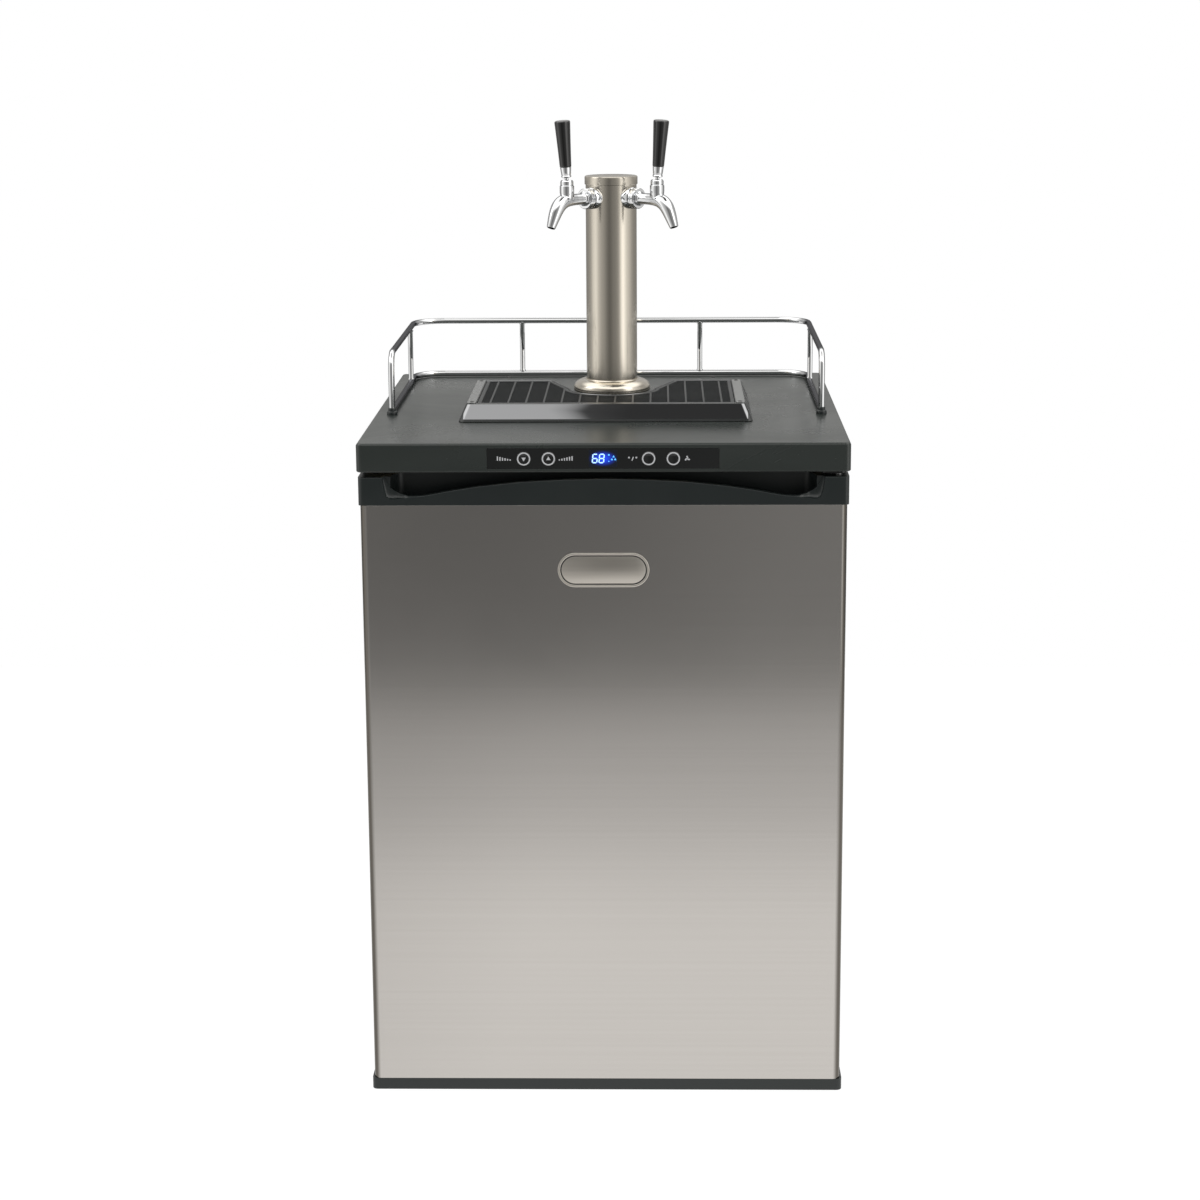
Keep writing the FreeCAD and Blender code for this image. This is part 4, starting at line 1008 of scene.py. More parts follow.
def spout_solid(t0, t1, radius, stations=26, sides=40):
    """Round sections along the spout's centre line, closed at both ends."""
    bm = bmesh.new()
    rings = []
    for i in range(stations):
        t = t0 + (t1 - t0) * i / (stations - 1)
        ahead = (spout_point(t + 0.001) - spout_point(t - 0.001)).normalized()
        side = Vector((0, 1, 0))
        up = ahead.cross(side)
        r = radius(t) * MM
        rings.append([bm.verts.new(spout_point(t) + side * r * math.cos(a) + up * r * math.sin(a))
                      for a in (2 * math.pi * k / sides for k in range(sides))])
    for low, high in zip(rings, rings[1:]):
        for k in range(sides):
            m = (k + 1) % sides
            bm.faces.new((low[k], low[m], high[m], high[k]))
    bm.faces.new(rings[0])
    bm.faces.new(rings[-1])
    return bm


def spout_radius(t):
    a, b, c = SPOUT_RADII
    return a * (1 - t) ** 2 + 2 * b * t * (1 - t) + c * t * t


def joined(name, pieces):
    bm = bmesh.new()
    for piece in pieces:
        bm.from_mesh(piece.data)
        bpy.data.objects.remove(piece)
    return mesh_piece(name, bm)


def baked(piece):
    """Apply a piece's modifiers to its mesh."""
    shape = piece.evaluated_get(bpy.context.evaluated_depsgraph_get())
    mesh = bpy.data.meshes.new_from_object(shape)
    piece.modifiers.clear()
    piece.data = mesh
    return piece


def tap_casting(name):
    neck_r, top = 9.3, (LEVER_Z / MM) - 1.5
    barrel = placed(lathe("barrel", [(0, 50.7), (9.0, 50.7), (9.6, 51.2), (9.6, 52.4), (8.6, 53.2),
                                     (7.5, 53.6), (7.1, 58), (7.3, 68), (8.0, 78), (0, 82)]), AT_SHANK)
    base = SHANK_Z / MM
    neck = lathe("neck", [(0, base - 3), (8.2, base - 3), (8.6, base + 6), (neck_r, base + 10),
                          (neck_r, top - 0.9), (neck_r - 0.6, top), (0, top)])
    placed(neck, Matrix.Translation((LEVER_RHO, 0, 0)))
    spout = mesh_piece("spout", spout_solid(0.0, 1.0, spout_radius))
    casting = joined(name, [barrel, neck, spout])
    melt = casting.modifiers.new("melt", "REMESH")
    melt.mode = "VOXEL"
    melt.voxel_size = 0.55 * MM
    smooth = casting.modifiers.new("smooth", "SMOOTH")
    smooth.iterations = 8
    smooth.factor = 0.5
    baked(casting)
    set_smooth(casting.data, 60.0)
    return casting


def bored(piece, cutter):
    cut = piece.modifiers.new("bore", "BOOLEAN")
    cut.operation = "DIFFERENCE"
    cut.solver = "EXACT"
    cut.object = cutter
    baked(piece)
    bpy.data.objects.remove(cutter)
    set_smooth(piece.data, 40.0)
    return piece


casting = tap_casting("tap_casting")
outlet = mesh_piece("outlet", spout_solid(0.62, 1.03, lambda t: 4.2))
bored(casting, outlet)
throat = placed(lathe("throat", [(0, -14), (7.4, -14), (7.4, 4), (0, 4)]),
                Matrix.Translation((LEVER_RHO, 0, LEVER_Z)))
bored(casting, throat)
for side in ("left", "right"):
    body = casting.copy()
    body.data = casting.data.copy()
    body.name = "tap_casting_" + side
    bpy.context.scene.collection.objects.link(body)
    fit_piece(placed(body, tap_matrix(side)), "tap_body_" + side, chrome)
print("casting faces:", len(casting.data.polygons))
bpy.data.objects.remove(casting)

# %% [markdown]
# ### Shank, nut, bonnet, lever and handle
# These are turned parts. The shank's flange beds on the tower, the coupling nut has six spanner
# holes, the bonnet closes the neck and the lever leans a few degrees outward when shut.

# %% Turned tap parts
def on_both_taps(make, node, material):
    """One piece for each tap, both standing for a node that holds the pair."""
    for side in ("left", "right"):
        piece = placed(make(), tap_matrix(side))
        piece.name = "%s_%s_finish" % (node, side)
        fit_piece(piece, node, material)


def shank_flange():
    return placed(lathe("shank", [(0, 24), (9.5, 24), (9.5, 29), (14.0, 29), (14.0, 40.2), (13.2, 41.4),
                                  (12.4, 41.4), (12.0, 42.0), (9.5, 42.0), (9.5, 47), (0, 47)]),
                  AT_SHANK)


def coupling_nut():
    nut = lathe("nut", [(8.2, 42.3), (12.6, 42.3), (13.4, 43.1), (13.4, 45.6), (13.0, 46.0), (13.0, 46.8),
                        (13.4, 47.2), (13.4, 49.7), (12.6, 50.5), (9.8, 50.5), (8.2, 50.5),
                        (8.2, 42.3)], steps=96)
    return placed(nut, AT_SHANK)


def spanner_holes(nut):
    """Six round sockets round the nut, where the spanner's pin goes."""
    bm = bmesh.new()
    for i in range(6):
        turn = Matrix.Rotation(math.radians(60 * i + 30), 4, "X")
        spot = Matrix.Translation((0.0464, 0, SHANK_Z)) @ turn @ Matrix.Translation((0, 0, 0.0135))
        bmesh.ops.create_cone(bm, cap_ends=True, segments=20, radius1=0.0014, radius2=0.0014,
                              depth=0.005, matrix=spot)
    return bored(nut, mesh_piece("holes", bm))


def bonnet():
    top = LEVER_Z / MM + 5.0
    low = LEVER_Z / MM - 1.5
    ring = lathe("bonnet", [(6.2, low), (7.9, low), (8.4, low + 0.6), (8.4, top - 1.9), (8.0, top - 0.9),
                            (7.2, top), (6.6, top), (6.2, top - 0.5), (6.2, low)], steps=72)
    return placed(ring, Matrix.Translation((LEVER_RHO, 0, 0)))


on_both_taps(shank_flange, "shanks", chrome)
on_both_taps(lambda: spanner_holes(coupling_nut()), "coupling_nuts", chrome)
on_both_taps(bonnet, "tap_bonnets", chrome)
print("shanks, nuts and bonnets turned")

# %% Levers and handles
LEVER_PLACE = Matrix.Translation((LEVER_RHO, 0, LEVER_Z)) @ Matrix.Rotation(LEVER_LEAN, 4, "Y")


def lever_parts():
    ball = [(5.8 * math.cos(math.radians(a)), 5.8 * math.sin(math.radians(a)))
            for a in range(-70, 66, 9)]
    profile = [(0, -9), (1.6, -9), (2.0, -8.6), (2.0, -5.45)] + ball
    profile += [(2.45, 5.28), (2.5, 8.6), (5.4, 8.6), (6.3, 9.1), (6.6, 9.9), (6.3, 10.8), (5.9, 11.3),
                (6.1, 12.0), (7.1, 21.2), (6.9, 22.0), (0, 22.0)]
    return lathe("lever", profile)


def handle_shape():
    low, high = 22.2, 81.4
    profile = [(0, low), (6.9, low), (7.4, low + 0.3), (7.55, low + 1.0)]
    profile += [(7.55 + 2.65 * t ** 1.15, low + 1 + (high - low - 3.4) * t)
                for t in (0.15, 0.3, 0.45, 0.6, 0.75, 0.9, 1.0)]
    profile += [(10.1, high - 1.4), (9.6, high - 0.6), (8.6, high - 0.15), (7.0, high), (0, high)]
    return lathe("handle", profile, steps=72, angle_deg=60.0)


for side in ("left", "right"):
    lever = placed(lever_parts(), tap_matrix(side) @ LEVER_PLACE)
    lever.name = "lever_%s_finish" % side
    fit_piece(lever, "lever_" + side, chrome)
    handle = placed(handle_shape(), tap_matrix(side) @ LEVER_PLACE)
    handle.name = "handle_%s_finish" % side
    fit_piece(handle, "handle_" + side, handle_gloss)
print("taps done")

# %% [markdown]
# ## Guard rail
# Two bent tubes with four short posts between them. A bend is a true arc tangent to both runs,
# which is what a tube bender leaves.

# %% Guard rail
rail_low, rail_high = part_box("rail_top")
base_low, base_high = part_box("rail_base")
foot_low, foot_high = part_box("rail_feet")
RAIL_R = 4.0 * MM
rail_x = rail_high.x - RAIL_R
rail_back = rail_high.y - RAIL_R
rail_front = rail_low.y + RAIL_R
rail_z = rail_high.z - RAIL_R
base_z = base_high.z - RAIL_R
CORNER, FRONT_BEND = 42 * MM, 22 * MM


def rail_corners(z, front):
    return [Vector((rail_x, front, z)), Vector((rail_x, rail_back, z)),
            Vector((-rail_x, rail_back, z)), Vector((-rail_x, front, z))]


top_corners = [Vector((rail_x, rail_front, rail_low.z))] + rail_corners(rail_z, rail_front)
top_corners += [Vector((-rail_x, rail_front, rail_low.z))]
top_path = bent_path(top_corners, [FRONT_BEND, CORNER, CORNER, FRONT_BEND])
fit_piece(drawn_tube("rail_top_tube", top_path, RAIL_R), "rail_top", chrome)
base_path = bent_path(rail_corners(base_z, base_low.y), [CORNER, CORNER])
fit_piece(drawn_tube("rail_base_tube", base_path, RAIL_R), "rail_base", chrome)
print("rail path points:", len(top_path))

# %% Rail posts and feet
def rail_post(x, y):
    low, high = (base_z + RAIL_R * 0.8) / MM, (rail_z - RAIL_R * 0.8) / MM
    post = lathe("post", [(0, low), (4.3, low), (4.3, low + 1.2), (3.5, low + 2.4), (3.5, high - 2.4),
                          (4.3, high - 1.2), (4.3, high), (0, high)], steps=32)
    return placed(post, Matrix.Translation((x, y, 0)))


POST_R = 3.5 * MM
BACK_POST_X = 127 * MM
side_post_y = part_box("rail_posts")[0].y + POST_R
for x, y in ((BACK_POST_X, rail_back), (-BACK_POST_X, rail_back),
             (rail_x, side_post_y), (-rail_x, side_post_y)):
    post = rail_post(x, y)
    post.name = "rail_post_%+04d_%+04d" % (round(x / MM), round(y / MM))
    post.name = post.name.replace("+", "p").replace("-", "m")
    fit_piece(post, "rail_posts", chrome)
for x in (-rail_x, rail_x):
    z0, z1 = foot_low.z / MM, foot_high.z / MM
    foot = lathe("foot", [(0, z0), (7.0, z0), (7.0, z0 + 3.4), (6.4, z0 + 4.4), (5.2, z0 + 5.0),
                          (5.0, z1 - 1.0), (4.4, z1), (0, z1)], steps=40)
    foot.name = "rail_foot_" + ("right" if x > 0 else "left")
    fit_piece(placed(foot, Matrix.Translation((x, rail_front, 0))), "rail_feet", trim_plastic)
print("rail posts and feet turned")

# %% [markdown]
# ## Drip tray
# The tray is a satin black moulding with sloping sides and a polished front panel, notched round
# the tower. One material makes both looks, because position and facing tell them apart. Its grille is a
# frame with ribs from front to back and finer slats across. The slats follow one rule: each
# runs the full width, except where the notch takes out its middle. Geometry Nodes hold
# that rule, so the pitch or the notch can be changed without redrawing a bar.

# %% Tray and trims
tray_low, tray_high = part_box("drip_tray")
# Painted shadow: the lowest strip of the tray's front is coloured black in place of the shadow gap at its
# foot.
PAINTED_SHADOW_RIM = 3.2 * MM            # stays black below the panel
PANEL_MARGIN = 6.5 * MM        # and at the mitred corners


def tray_finish():
    """Satin black moulding whose sloping front carries a polished panel."""
    material, tree, shader = start_material("tray_black")
    coords = add(tree, "ShaderNodeTexCoord").outputs
    place = add(tree, "ShaderNodeSeparateXYZ", {0: coords["Object"]}).outputs
    facing = add(tree, "ShaderNodeSeparateXYZ", {0: coords["Normal"]}).outputs["Y"]
    off_centre = math_node(tree, "ABSOLUTE", place["X"])
    front = math_node(tree, "LESS_THAN", facing, -0.5)
    above_painted_shadow = math_node(tree, "GREATER_THAN", place["Z"], tray_low.z + PAINTED_SHADOW_RIM)
    within = math_node(tree, "LESS_THAN", off_centre, tray_high.x - PANEL_MARGIN)
    panel = math_node(tree, "MULTIPLY", front, math_node(tree, "MULTIPLY", above_painted_shadow, within))
    grain = use_group(tree, GRAIN, Cell_size_mm=9.0)
    black = color_mix(tree, grain["Tone"], (0.008, 0.010, 0.010), (0.013, 0.016, 0.016))
    tree.links.new(color_mix(tree, panel, black, (0.35, 0.355, 0.365)), shader.inputs["Base Color"])
    tree.links.new(panel, shader.inputs["Metallic"])
    satin = use_group(tree, SMEARS, Base=0.24, Spread=0.10, Size=9.0)["Roughness"]
    rough = add(tree, "ShaderNodeMix", {0: panel, 2: satin, 3: 0.03}).outputs[0]
    tree.links.new(rough, shader.inputs["Roughness"])
    return material


eased_copy("drip_tray", tray_finish(), 0.9, 3)
eased_copy("tray_trims", tray_steel, 0.3)
print("tray", round((tray_high.x - tray_low.x) / MM), "mm wide")

# %% Grille slats as a node tree
def build_slat_tree():
    """Bars across a plate that stop at a round notch which flares towards the back."""
    tree = bpy.data.node_groups.new("Notched slats", "GeometryNodeTree")
    tree.is_modifier = True
    tree.interface.new_socket("Geometry", in_out="INPUT", socket_type="NodeSocketGeometry")
    for label, value in (("Half length", 0.16), ("Start", -0.11), ("Pitch", 0.009), ("Count", 22.0),
                         ("Width", 0.002), ("Thickness", 0.002), ("Level", 0.0),
                         ("Notch X", 0.0), ("Notch Y", 0.008), ("Notch radius", 0.058),
                         ("Notch flare", 0.33)):
        socket = tree.interface.new_socket(label, in_out="INPUT", socket_type=FLOAT)
        socket.default_value = value
    tree.interface.new_socket("Finish", in_out="INPUT", socket_type="NodeSocketMaterial")
    tree.interface.new_socket("Geometry", in_out="OUTPUT", socket_type="NodeSocketGeometry")
    given = tree.nodes.new("NodeGroupInput").outputs

    def calc(operation, a, b=0.0):
        return math_node(tree, operation, a, b)

    index = add(tree, "GeometryNodeInputIndex").outputs[0]
    row = calc("FLOOR", calc("DIVIDE", index, 2.0))
    side = calc("SUBTRACT", calc("MULTIPLY", calc("MODULO", index, 2.0), 2.0), 1.0)
    y = calc("ADD", given["Start"], calc("MULTIPLY", row, given["Pitch"]))
    away = calc("SUBTRACT", y, given["Notch Y"])
    ahead = calc("MINIMUM", away, 0.0)
    inside = calc("SUBTRACT", calc("MULTIPLY", given["Notch radius"], given["Notch radius"]),
                  calc("MULTIPLY", ahead, ahead))
    round_part = calc("SQRT", calc("MAXIMUM", inside, 0.0))
    flared = calc("MULTIPLY", given["Notch flare"], calc("MAXIMUM", away, 0.0))
    chord = calc("ADD", round_part, flared)
    near = calc("ADD", given["Notch X"], calc("MULTIPLY", side, chord))
    far = calc("MULTIPLY", side, given["Half length"])
    length = calc("MAXIMUM", calc("ABSOLUTE", calc("SUBTRACT", far, near)), 0.0001)
    middle = calc("MULTIPLY", calc("ADD", near, far), 0.5)
    place = add(tree, "ShaderNodeCombineXYZ", {0: middle, 1: y, 2: given["Level"]}).outputs[0]
    size = add(tree, "ShaderNodeCombineXYZ", {0: length, 1: given["Width"],
                                              2: given["Thickness"]}).outputs[0]
    count = calc("MULTIPLY", given["Count"], 2.0)
    points = add(tree, "GeometryNodePoints", {"Count": count, "Position": place}).outputs[0]
    unit = add(tree, "GeometryNodeMeshCube", {"Size": (1.0, 1.0, 1.0)}).outputs["Mesh"]
    bars = add(tree, "GeometryNodeInstanceOnPoints", {"Points": points, "Instance": unit,
                                                      "Scale": size}).outputs[0]
    real = add(tree, "GeometryNodeRealizeInstances", {"Geometry": bars}).outputs[0]
    painted = add(tree, "GeometryNodeSetMaterial", {"Geometry": real,
                                                    "Material": given["Finish"]}).outputs[0]
    out = tree.nodes.new("NodeGroupOutput")
    tree.links.new(painted, out.inputs[0])
    return tree


SLATS = build_slat_tree()


def node_piece(name, tree, mesh, **values):
    """Run a node tree on a mesh and keep the result as a plain mesh."""
    holder = bpy.data.objects.new(name, mesh)
    modifier = holder.modifiers.new(name, "NODES")
    modifier.node_group = tree
    sockets = {item.name: item.identifier for item in tree.interface.items_tree
               if item.item_type == "SOCKET" and item.in_out == "INPUT"}
    for label, value in values.items():
        modifier[sockets[label.replace("_", " ")]] = value
    bpy.context.scene.collection.objects.link(holder)
    return baked(holder)


print("slat inputs:", [item.name for item in SLATS.interface.items_tree])

# %% Grille ribs, slats and frame
grille_low, grille_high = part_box("drip_grille")
NOTCH_R = 58 * MM
NOTCH_FLARE = 0.33             # the notch widens by this much towards the back
FRAME = 5 * MM
half_length = (grille_high.x - grille_low.x) / 2
notch = {"Notch_X": tower_axis.x, "Notch_Y": tower_axis.y}
slats = node_piece("grille_slats", SLATS, bpy.data.meshes.new("grille_slats"),
                   Half_length=half_length - FRAME / 2,
                   Start=grille_low.y + FRAME + 4 * MM, Pitch=8.6 * MM, Count=23.0,
                   Width=1.9 * MM, Thickness=2.2 * MM, Level=grille_high.z - 1.9 * MM,
                   Notch_radius=NOTCH_R + FRAME / 2, Notch_flare=NOTCH_FLARE,
                   Finish=grille_black, **notch)
fit_piece(slats, "drip_grille", grille_black)
print("slat faces:", len(slats.data.polygons))


def front_to_back(x):
    """Where a rib at x ends: at the plate's back edge or at the notch."""
    reach = NOTCH_R + FRAME / 2
    across = abs(x - tower_axis.x)
    back = grille_high.y - FRAME / 2
    if across < reach:
        return tower_axis.y - math.sqrt(reach ** 2 - across ** 2)
    return min(back, tower_axis.y + (across - reach) / NOTCH_FLARE)


RIB_PITCH = 23 * MM
bm = bmesh.new()
for i in range(-7, 8):
    x = (i + 0.5) * RIB_PITCH if i < 7 else None
    if x is None or abs(x) > half_length - FRAME:
        continue
    y0, y1 = grille_low.y + FRAME / 2, front_to_back(x)
    height = 3.6 * MM
    spot = Matrix.Translation((x, (y0 + y1) / 2, grille_high.z - 0.3 * MM - height / 2))
    bmesh.ops.create_cube(bm, size=1.0, matrix=spot @ Matrix.Diagonal((2.4 * MM, y1 - y0, height, 1)))
ribs = mesh_piece("grille_ribs", bm)
detail_piece(ribs, "drip_grille", grille_black)


# %% Grille frame
def grille_outline(inset, z):
    """The plate's outline, inset from its edge, with the notch open at the back."""
    left, right = grille_low.x + inset, grille_high.x - inset
    front, back = grille_low.y + inset, grille_high.y - inset
    reach = NOTCH_R + inset
    mouth = reach + NOTCH_FLARE * (back - tower_axis.y)
    arc = [(tower_axis.x + reach * math.cos(math.pi * i / 48),
            tower_axis.y - reach * math.sin(math.pi * i / 48), z) for i in range(49)]
    return ([(left, back, z), (left, front, z), (right, front, z), (right, back, z),
             (tower_axis.x + mouth, back, z)] + arc + [(tower_axis.x - mouth, back, z)])


def grille_frame():
    bm = bmesh.new()
    low, high = grille_low.z, grille_high.z
    loops = [grille_outline(0, low), grille_outline(0, high - 0.5 * MM), grille_outline(0.5 * MM, high),
             grille_outline(FRAME - 0.5 * MM, high), grille_outline(FRAME, high - 0.5 * MM),
             grille_outline(FRAME, low)]
    rings = [[bm.verts.new(p) for p in loop] for loop in loops]
    for ring, after in zip(rings, rings[1:] + rings[:1]):
        for i in range(len(ring)):
            j = (i + 1) % len(ring)
            bm.faces.new((ring[i], ring[j], after[j], after[i]))
    return mesh_piece("grille_frame", bm)


detail_piece(grille_frame(), "drip_grille", grille_black)
print("grille frame made")

# %% [markdown]
# ## Screws
# Small pan-head screws hold the tray's trims, the worktop and the back panel. One head with a
# cross recess is modelled, and a node tree puts a copy on every vertex of a mesh of places.

# %% Screw head
def cross_head():
    """A domed head with a cross-shaped recess cut into it."""
    head = lathe("screw_head", [(0, -0.4), (3.0, -0.4), (3.0, 0.3), (2.7, 0.85), (2.0, 1.25),
                                (1.0, 1.45), (0, 1.5)], steps=28)
    for turn in (0, 90):
        bm = bmesh.new()
        spot = Matrix.Rotation(math.radians(turn), 4, "Z") @ Matrix.Translation((0, 0, 1.3 * MM))
        slot_size = Matrix.Diagonal((3.2 * MM, 0.7 * MM, 1.4 * MM, 1))
        bmesh.ops.create_cube(bm, size=1.0, matrix=spot @ slot_size)
        head = bored(head, mesh_piece("recess", bm))
    print("screw head faces:", len(head.data.polygons))
    return head


def build_scatter_tree():
    tree = bpy.data.node_groups.new("Copies on points", "GeometryNodeTree")
    tree.is_modifier = True
    tree.interface.new_socket("Geometry", in_out="INPUT", socket_type="NodeSocketGeometry")
    for label, kind in (("Copy", "NodeSocketObject"), ("Turn", "NodeSocketVector"),
                        ("Finish", "NodeSocketMaterial")):
        tree.interface.new_socket(label, in_out="INPUT", socket_type=kind)
    tree.interface.new_socket("Geometry", in_out="OUTPUT", socket_type="NodeSocketGeometry")
    given = tree.nodes.new("NodeGroupInput").outputs
    info = add(tree, "GeometryNodeObjectInfo", {"Object": given["Copy"]})
    turn = add(tree, "FunctionNodeEulerToRotation", {0: given["Turn"]}).outputs[0]
    spin = add(tree, "FunctionNodeRandomValue", {"Min": 0.0, "Max": 3.0, "Seed": 11}, data_type="FLOAT")
    about = add(tree, "ShaderNodeCombineXYZ", {2: spin.outputs["Value"]}).outputs[0]
    twist = add(tree, "FunctionNodeEulerToRotation", {0: about}).outputs[0]
    both = add(tree, "FunctionNodeRotateRotation", {0: turn, 1: twist}, rotation_space="LOCAL").outputs[0]
    copies = add(tree, "GeometryNodeInstanceOnPoints",
                 {"Points": given["Geometry"], "Instance": info.outputs["Geometry"],
                  "Rotation": both}).outputs[0]
    real = add(tree, "GeometryNodeRealizeInstances", {"Geometry": copies}).outputs[0]
    painted = add(tree, "GeometryNodeSetMaterial", {"Geometry": real,
                                                    "Material": given["Finish"]}).outputs[0]
    tree.links.new(painted, tree.nodes.new("NodeGroupOutput").inputs[0])
    return tree


SCATTER = build_scatter_tree()
SCREW = cross_head()


def screws(name, places, turn, finish):
    """A screw head on each place, its head along the turned +Z."""
    mesh = bpy.data.meshes.new(name)
    mesh.from_pydata([tuple(p) for p in places], [], [])
    return node_piece(name, SCATTER, mesh, Copy=SCREW, Turn=turn, Finish=finish)


# %% Screws in place
trims_low, trims_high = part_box("tray_trims")
trim_x = trims_high.x - 6 * MM
trim_ends = (trims_low.y + 8 * MM, trims_high.y - 8 * MM)
tray_screws = screws("tray_screws", [(sx * trim_x, y, trims_high.z - 0.6 * MM)
                                     for sx in (-1, 1) for y in trim_ends],
                     (0.0, 0.0, 0.0), bracket_steel)
detail_piece(tray_screws, "tray_trims", bracket_steel)

screw_low, screw_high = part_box("lid_screws")
screw_y = (screw_low.y + screw_high.y) / 2
screw_x = screw_high.x - 3.6 * MM
worktop_z = screw_high.z - 1.8 * MM
lid_heads = screws("worktop_screws", [(-screw_x, screw_y, worktop_z), (screw_x, screw_y, worktop_z)],
                   (0.0, 0.0, 0.0), bracket_steel)
fit_piece(lid_heads, "lid_screws", bracket_steel)

panel_low, panel_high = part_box("back_panel")
edge_in = 12 * MM
rows = [panel_low.z + edge_in + (panel_high.z - panel_low.z - 2 * edge_in) * i / 4 for i in range(5)]
back_places = [(sx * (panel_high.x - edge_in), panel_high.y, z) for sx in (-1, 1) for z in rows]
back_heads = screws("back_panel_screws", back_places, (math.radians(-90), 0.0, 0.0), bracket_steel)
detail_piece(back_heads, "back_panel", bracket_steel)
bpy.data.objects.remove(SCREW)
print("screws:", 4 + 2 + len(back_places))

# %% [markdown]
# ## Studio
# A pale floor and a soft, wrap-round set. The tall door mirrors the floor in front of it, so the
# floor carries a painted glow: its emission is brightest at the cabinet and falls off towards its
# front edge, with painted shade towards the left, beyond which the room is dim. Camera rays see
# clean white everywhere, which keeps the outline crisp.

# %% Floor
FLOOR_FRONT, FLOOR_HALF = -2.39, 2.2


def ramp_node(tree, place, stops, low, high, peak):
    """A colour ramp over low..high; stored values are divided by the peak to stay within 1."""
    spread = add(tree, "ShaderNodeMapRange", {"Value": place, "From Min": low, "From Max": high})
    made = add(tree, "ShaderNodeValToRGB", {"Fac": spread.outputs["Result"]})
    elements = made.color_ramp.elements
    elements.remove(elements[1])
    for index, (at, value) in enumerate(stops):
        position = (at - low) / (high - low)
        element = elements[0] if index == 0 else elements.new(position)
        element.position = position
        element.color = (value / peak, value / peak, value / peak, 1.0)
    return math_node(tree, "MULTIPLY", made.outputs["Color"], peak)


FLOOR_GLOW = [(0.0, 0.98), (0.70, 0.98), (0.91, 0.90), (1.12, 0.76), (1.36, 0.64), (1.77, 0.56),
              (2.0, 0.50), (2.1, 0.47)]


def studio_floor():
    bm = bmesh.new()
    corners = ((-FLOOR_HALF, FLOOR_FRONT), (FLOOR_HALF, FLOOR_FRONT), (FLOOR_HALF, 2.0),
               (-FLOOR_HALF, 2.0))
    bm.faces.new([bm.verts.new((x, y, 0.0)) for x, y in corners])
    floor = mesh_piece("studio_floor", bm)
    material, tree, shader = start_material("floor_paper", Roughness=0.9)
    place = add(tree, "ShaderNodeTexCoord").outputs["Object"]
    xyz = add(tree, "ShaderNodeSeparateXYZ", {0: place}).outputs
    ahead = math_node(tree, "SUBTRACT", -0.315, xyz["Y"])
    # Painted light: the floor's glow is brightest at the cabinet and falls off towards the front.
    level = ramp_node(tree, ahead, FLOOR_GLOW, 0.0, 2.1, 1.0)
    seen = add(tree, "ShaderNodeLightPath").outputs["Is Camera Ray"]
    # Painted shade: the glow is dimmed a little towards the left.
    leftward = math_node(tree, "MULTIPLY", xyz["X"], -1.0)
    painted_left_shade = add(tree, "ShaderNodeMapRange", {"Value": leftward, "From Min": 0.15, "From Max": 0.5,
                                              "To Min": 1.0, "To Max": 0.86}).outputs["Result"]
    level = math_node(tree, "MULTIPLY", level, painted_left_shade)
    strength = add(tree, "ShaderNodeMix", {0: seen, 2: level, 3: 1.0}).outputs[0]
    tree.links.new(strength, shader.inputs["Emission Strength"])
    tint = color_mix(tree, seen, (1.0, 0.985, 0.97), (1.0, 1.0, 1.0))
    tree.links.new(tint, shader.inputs["Emission Color"])
    shader.inputs["Base Color"].default_value = (0.02, 0.02, 0.02, 1.0)
    paint(floor, material)
    return floor


studio_floor()
print("floor reaches", FLOOR_FRONT, "m")

# %% World
# The room is drawn as a ring of brightness by compass angle (0 is the camera's side, minus is
# left), a bright ceiling, and a narrow dim gap in the ceiling that the tray's front mirrors.
RING = [(-180, 0.28), (-150, 0.28), (-125, 0.36), (-106, 0.50), (-95, 0.85), (-82, 1.10), (-74, 1.15),
        (-67, 0.95), (-58, 0.68), (-47, 0.52), (-35, 0.42), (-20, 0.24), (-8, 0.15), (0, 0.19),
        (6, 0.25), (18, 0.28), (30, 0.36), (38, 0.60), (45, 1.25), (56, 1.70), (67, 1.15), (80, 0.84),
        (92, 0.68), (106, 0.46), (123, 0.33), (150, 0.28), (180, 0.28)]
CEILING = 1.8
CEILING_GAP = [(-0.45, 1.8), (-0.25, 1.1), (-0.052, 1.0), (-0.042, 0.78), (-0.0344, 0.48),
               (-0.0322, 0.42), (-0.0309, 0.13), (0.0, 0.08), (0.25, 0.07), (0.45, 1.8)]


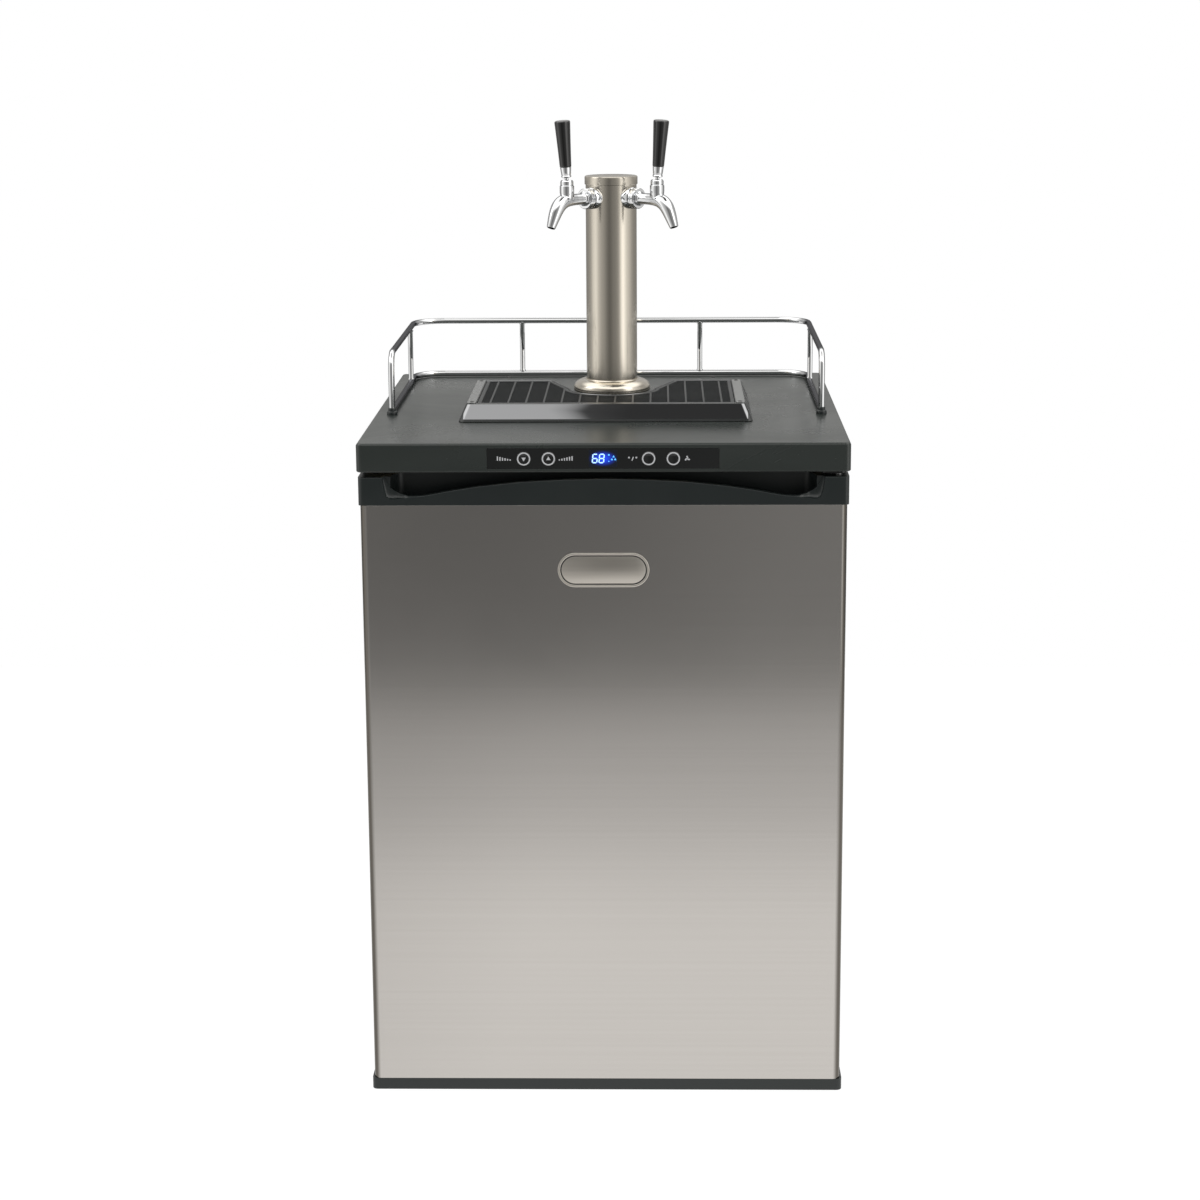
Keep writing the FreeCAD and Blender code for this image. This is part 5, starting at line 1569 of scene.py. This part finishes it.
def studio_world():
    world = bpy.data.worlds.new("studio")
    bpy.context.scene.world = world
    world.use_nodes = True
    tree = world.node_tree
    background = tree.nodes["Background"]
    direction = add(tree, "ShaderNodeTexCoord").outputs["Generated"]
    xyz = add(tree, "ShaderNodeSeparateXYZ", {0: direction}).outputs
    ahead = math_node(tree, "MULTIPLY", xyz["Y"], -1.0)
    turn = math_node(tree, "MULTIPLY", math_node(tree, "ARCTAN2", xyz["X"], ahead), 180 / math.pi)
    ring = ramp_node(tree, turn, RING, -180.0, 180.0, 2.0)

    def ease(value, low, high):
        return add(tree, "ShaderNodeMapRange", {"Value": value, "From Min": low, "From Max": high},
                   interpolation_type="SMOOTHSTEP").outputs["Result"]

    def mix(factor, a, b):
        return add(tree, "ShaderNodeMix", {0: factor, 2: a, 3: b}).outputs[0]

    backdrop = math_node(tree, "MULTIPLY", ease(xyz["Z"], 0.0, 0.18), ease(xyz["Y"], 0.3, 0.8))
    level = math_node(tree, "ADD", ring, math_node(tree, "MULTIPLY", backdrop, 0.26))
    level = mix(ease(xyz["Z"], 0.5, 0.78), level, CEILING)
    gap = ramp_node(tree, xyz["X"], CEILING_GAP, -0.45, 0.45, 2.0)
    level = mix(ease(xyz["Z"], 0.90, 0.95), level, gap)
    seen = add(tree, "ShaderNodeLightPath").outputs["Is Camera Ray"]
    tree.links.new(mix(seen, level, 1.0), background.inputs["Strength"])
    tint = color_mix(tree, seen, (1.0, 0.99, 0.97), (1.0, 1.0, 1.0))
    tree.links.new(tint, background.inputs["Color"])


studio_world()
print("ring stops:", len(RING))

# %% Lamps
def soft_lamp(name, place, target, size, power, color=(1.0, 1.0, 1.0)):
    light = bpy.data.lights.new(name, "AREA")
    light.shape = "RECTANGLE"
    light.size, light.size_y = size
    light.energy = power
    light.color = color
    lamp = bpy.data.objects.new(name, light)
    bpy.context.scene.collection.objects.link(lamp)
    lamp.location = place
    lamp.rotation_euler = (Vector(target) - Vector(place)).to_track_quat("-Z", "Y").to_euler()
    return lamp


soft_lamp("left_side", (-2.3, -0.3, 2.6), (0, 0, 0.9), (1.2, 1.2), 6)
soft_lamp("right_side", (2.0, -1.2, 2.6), (0, 0, 0.9), (0.8, 1.2), 5, (1.0, 0.97, 0.92))
print("lamps:", len(bpy.data.lights))

# %% [markdown]
# ## Camera
# The camera stands in front, a little right of the middle and above the worktop, and looks down
# about thirteen degrees with a long lens.

# %% Camera
CAMERA_PLACE = (0.0687, -3.5744, 1.3907)
CAMERA_DOWN, CAMERA_LEFT, CAMERA_ROLL = math.radians(12.567), math.radians(1.289), math.radians(-0.355)
camera_data = bpy.data.cameras.new("camera")
camera_data.lens = 81.1
camera_data.sensor_width = 36.0
camera = bpy.data.objects.new("camera", camera_data)
bpy.context.scene.collection.objects.link(camera)
camera.matrix_world = (Matrix.Translation(CAMERA_PLACE) @ Matrix.Rotation(CAMERA_LEFT, 4, "Z")
                       @ Matrix.Rotation(math.radians(90) - CAMERA_DOWN, 4, "X")
                       @ Matrix.Rotation(CAMERA_ROLL, 4, "Z"))
bpy.context.scene.camera = camera
bpy.context.scene.view_settings.view_transform = "Standard"
print("lens", camera_data.lens, "mm")
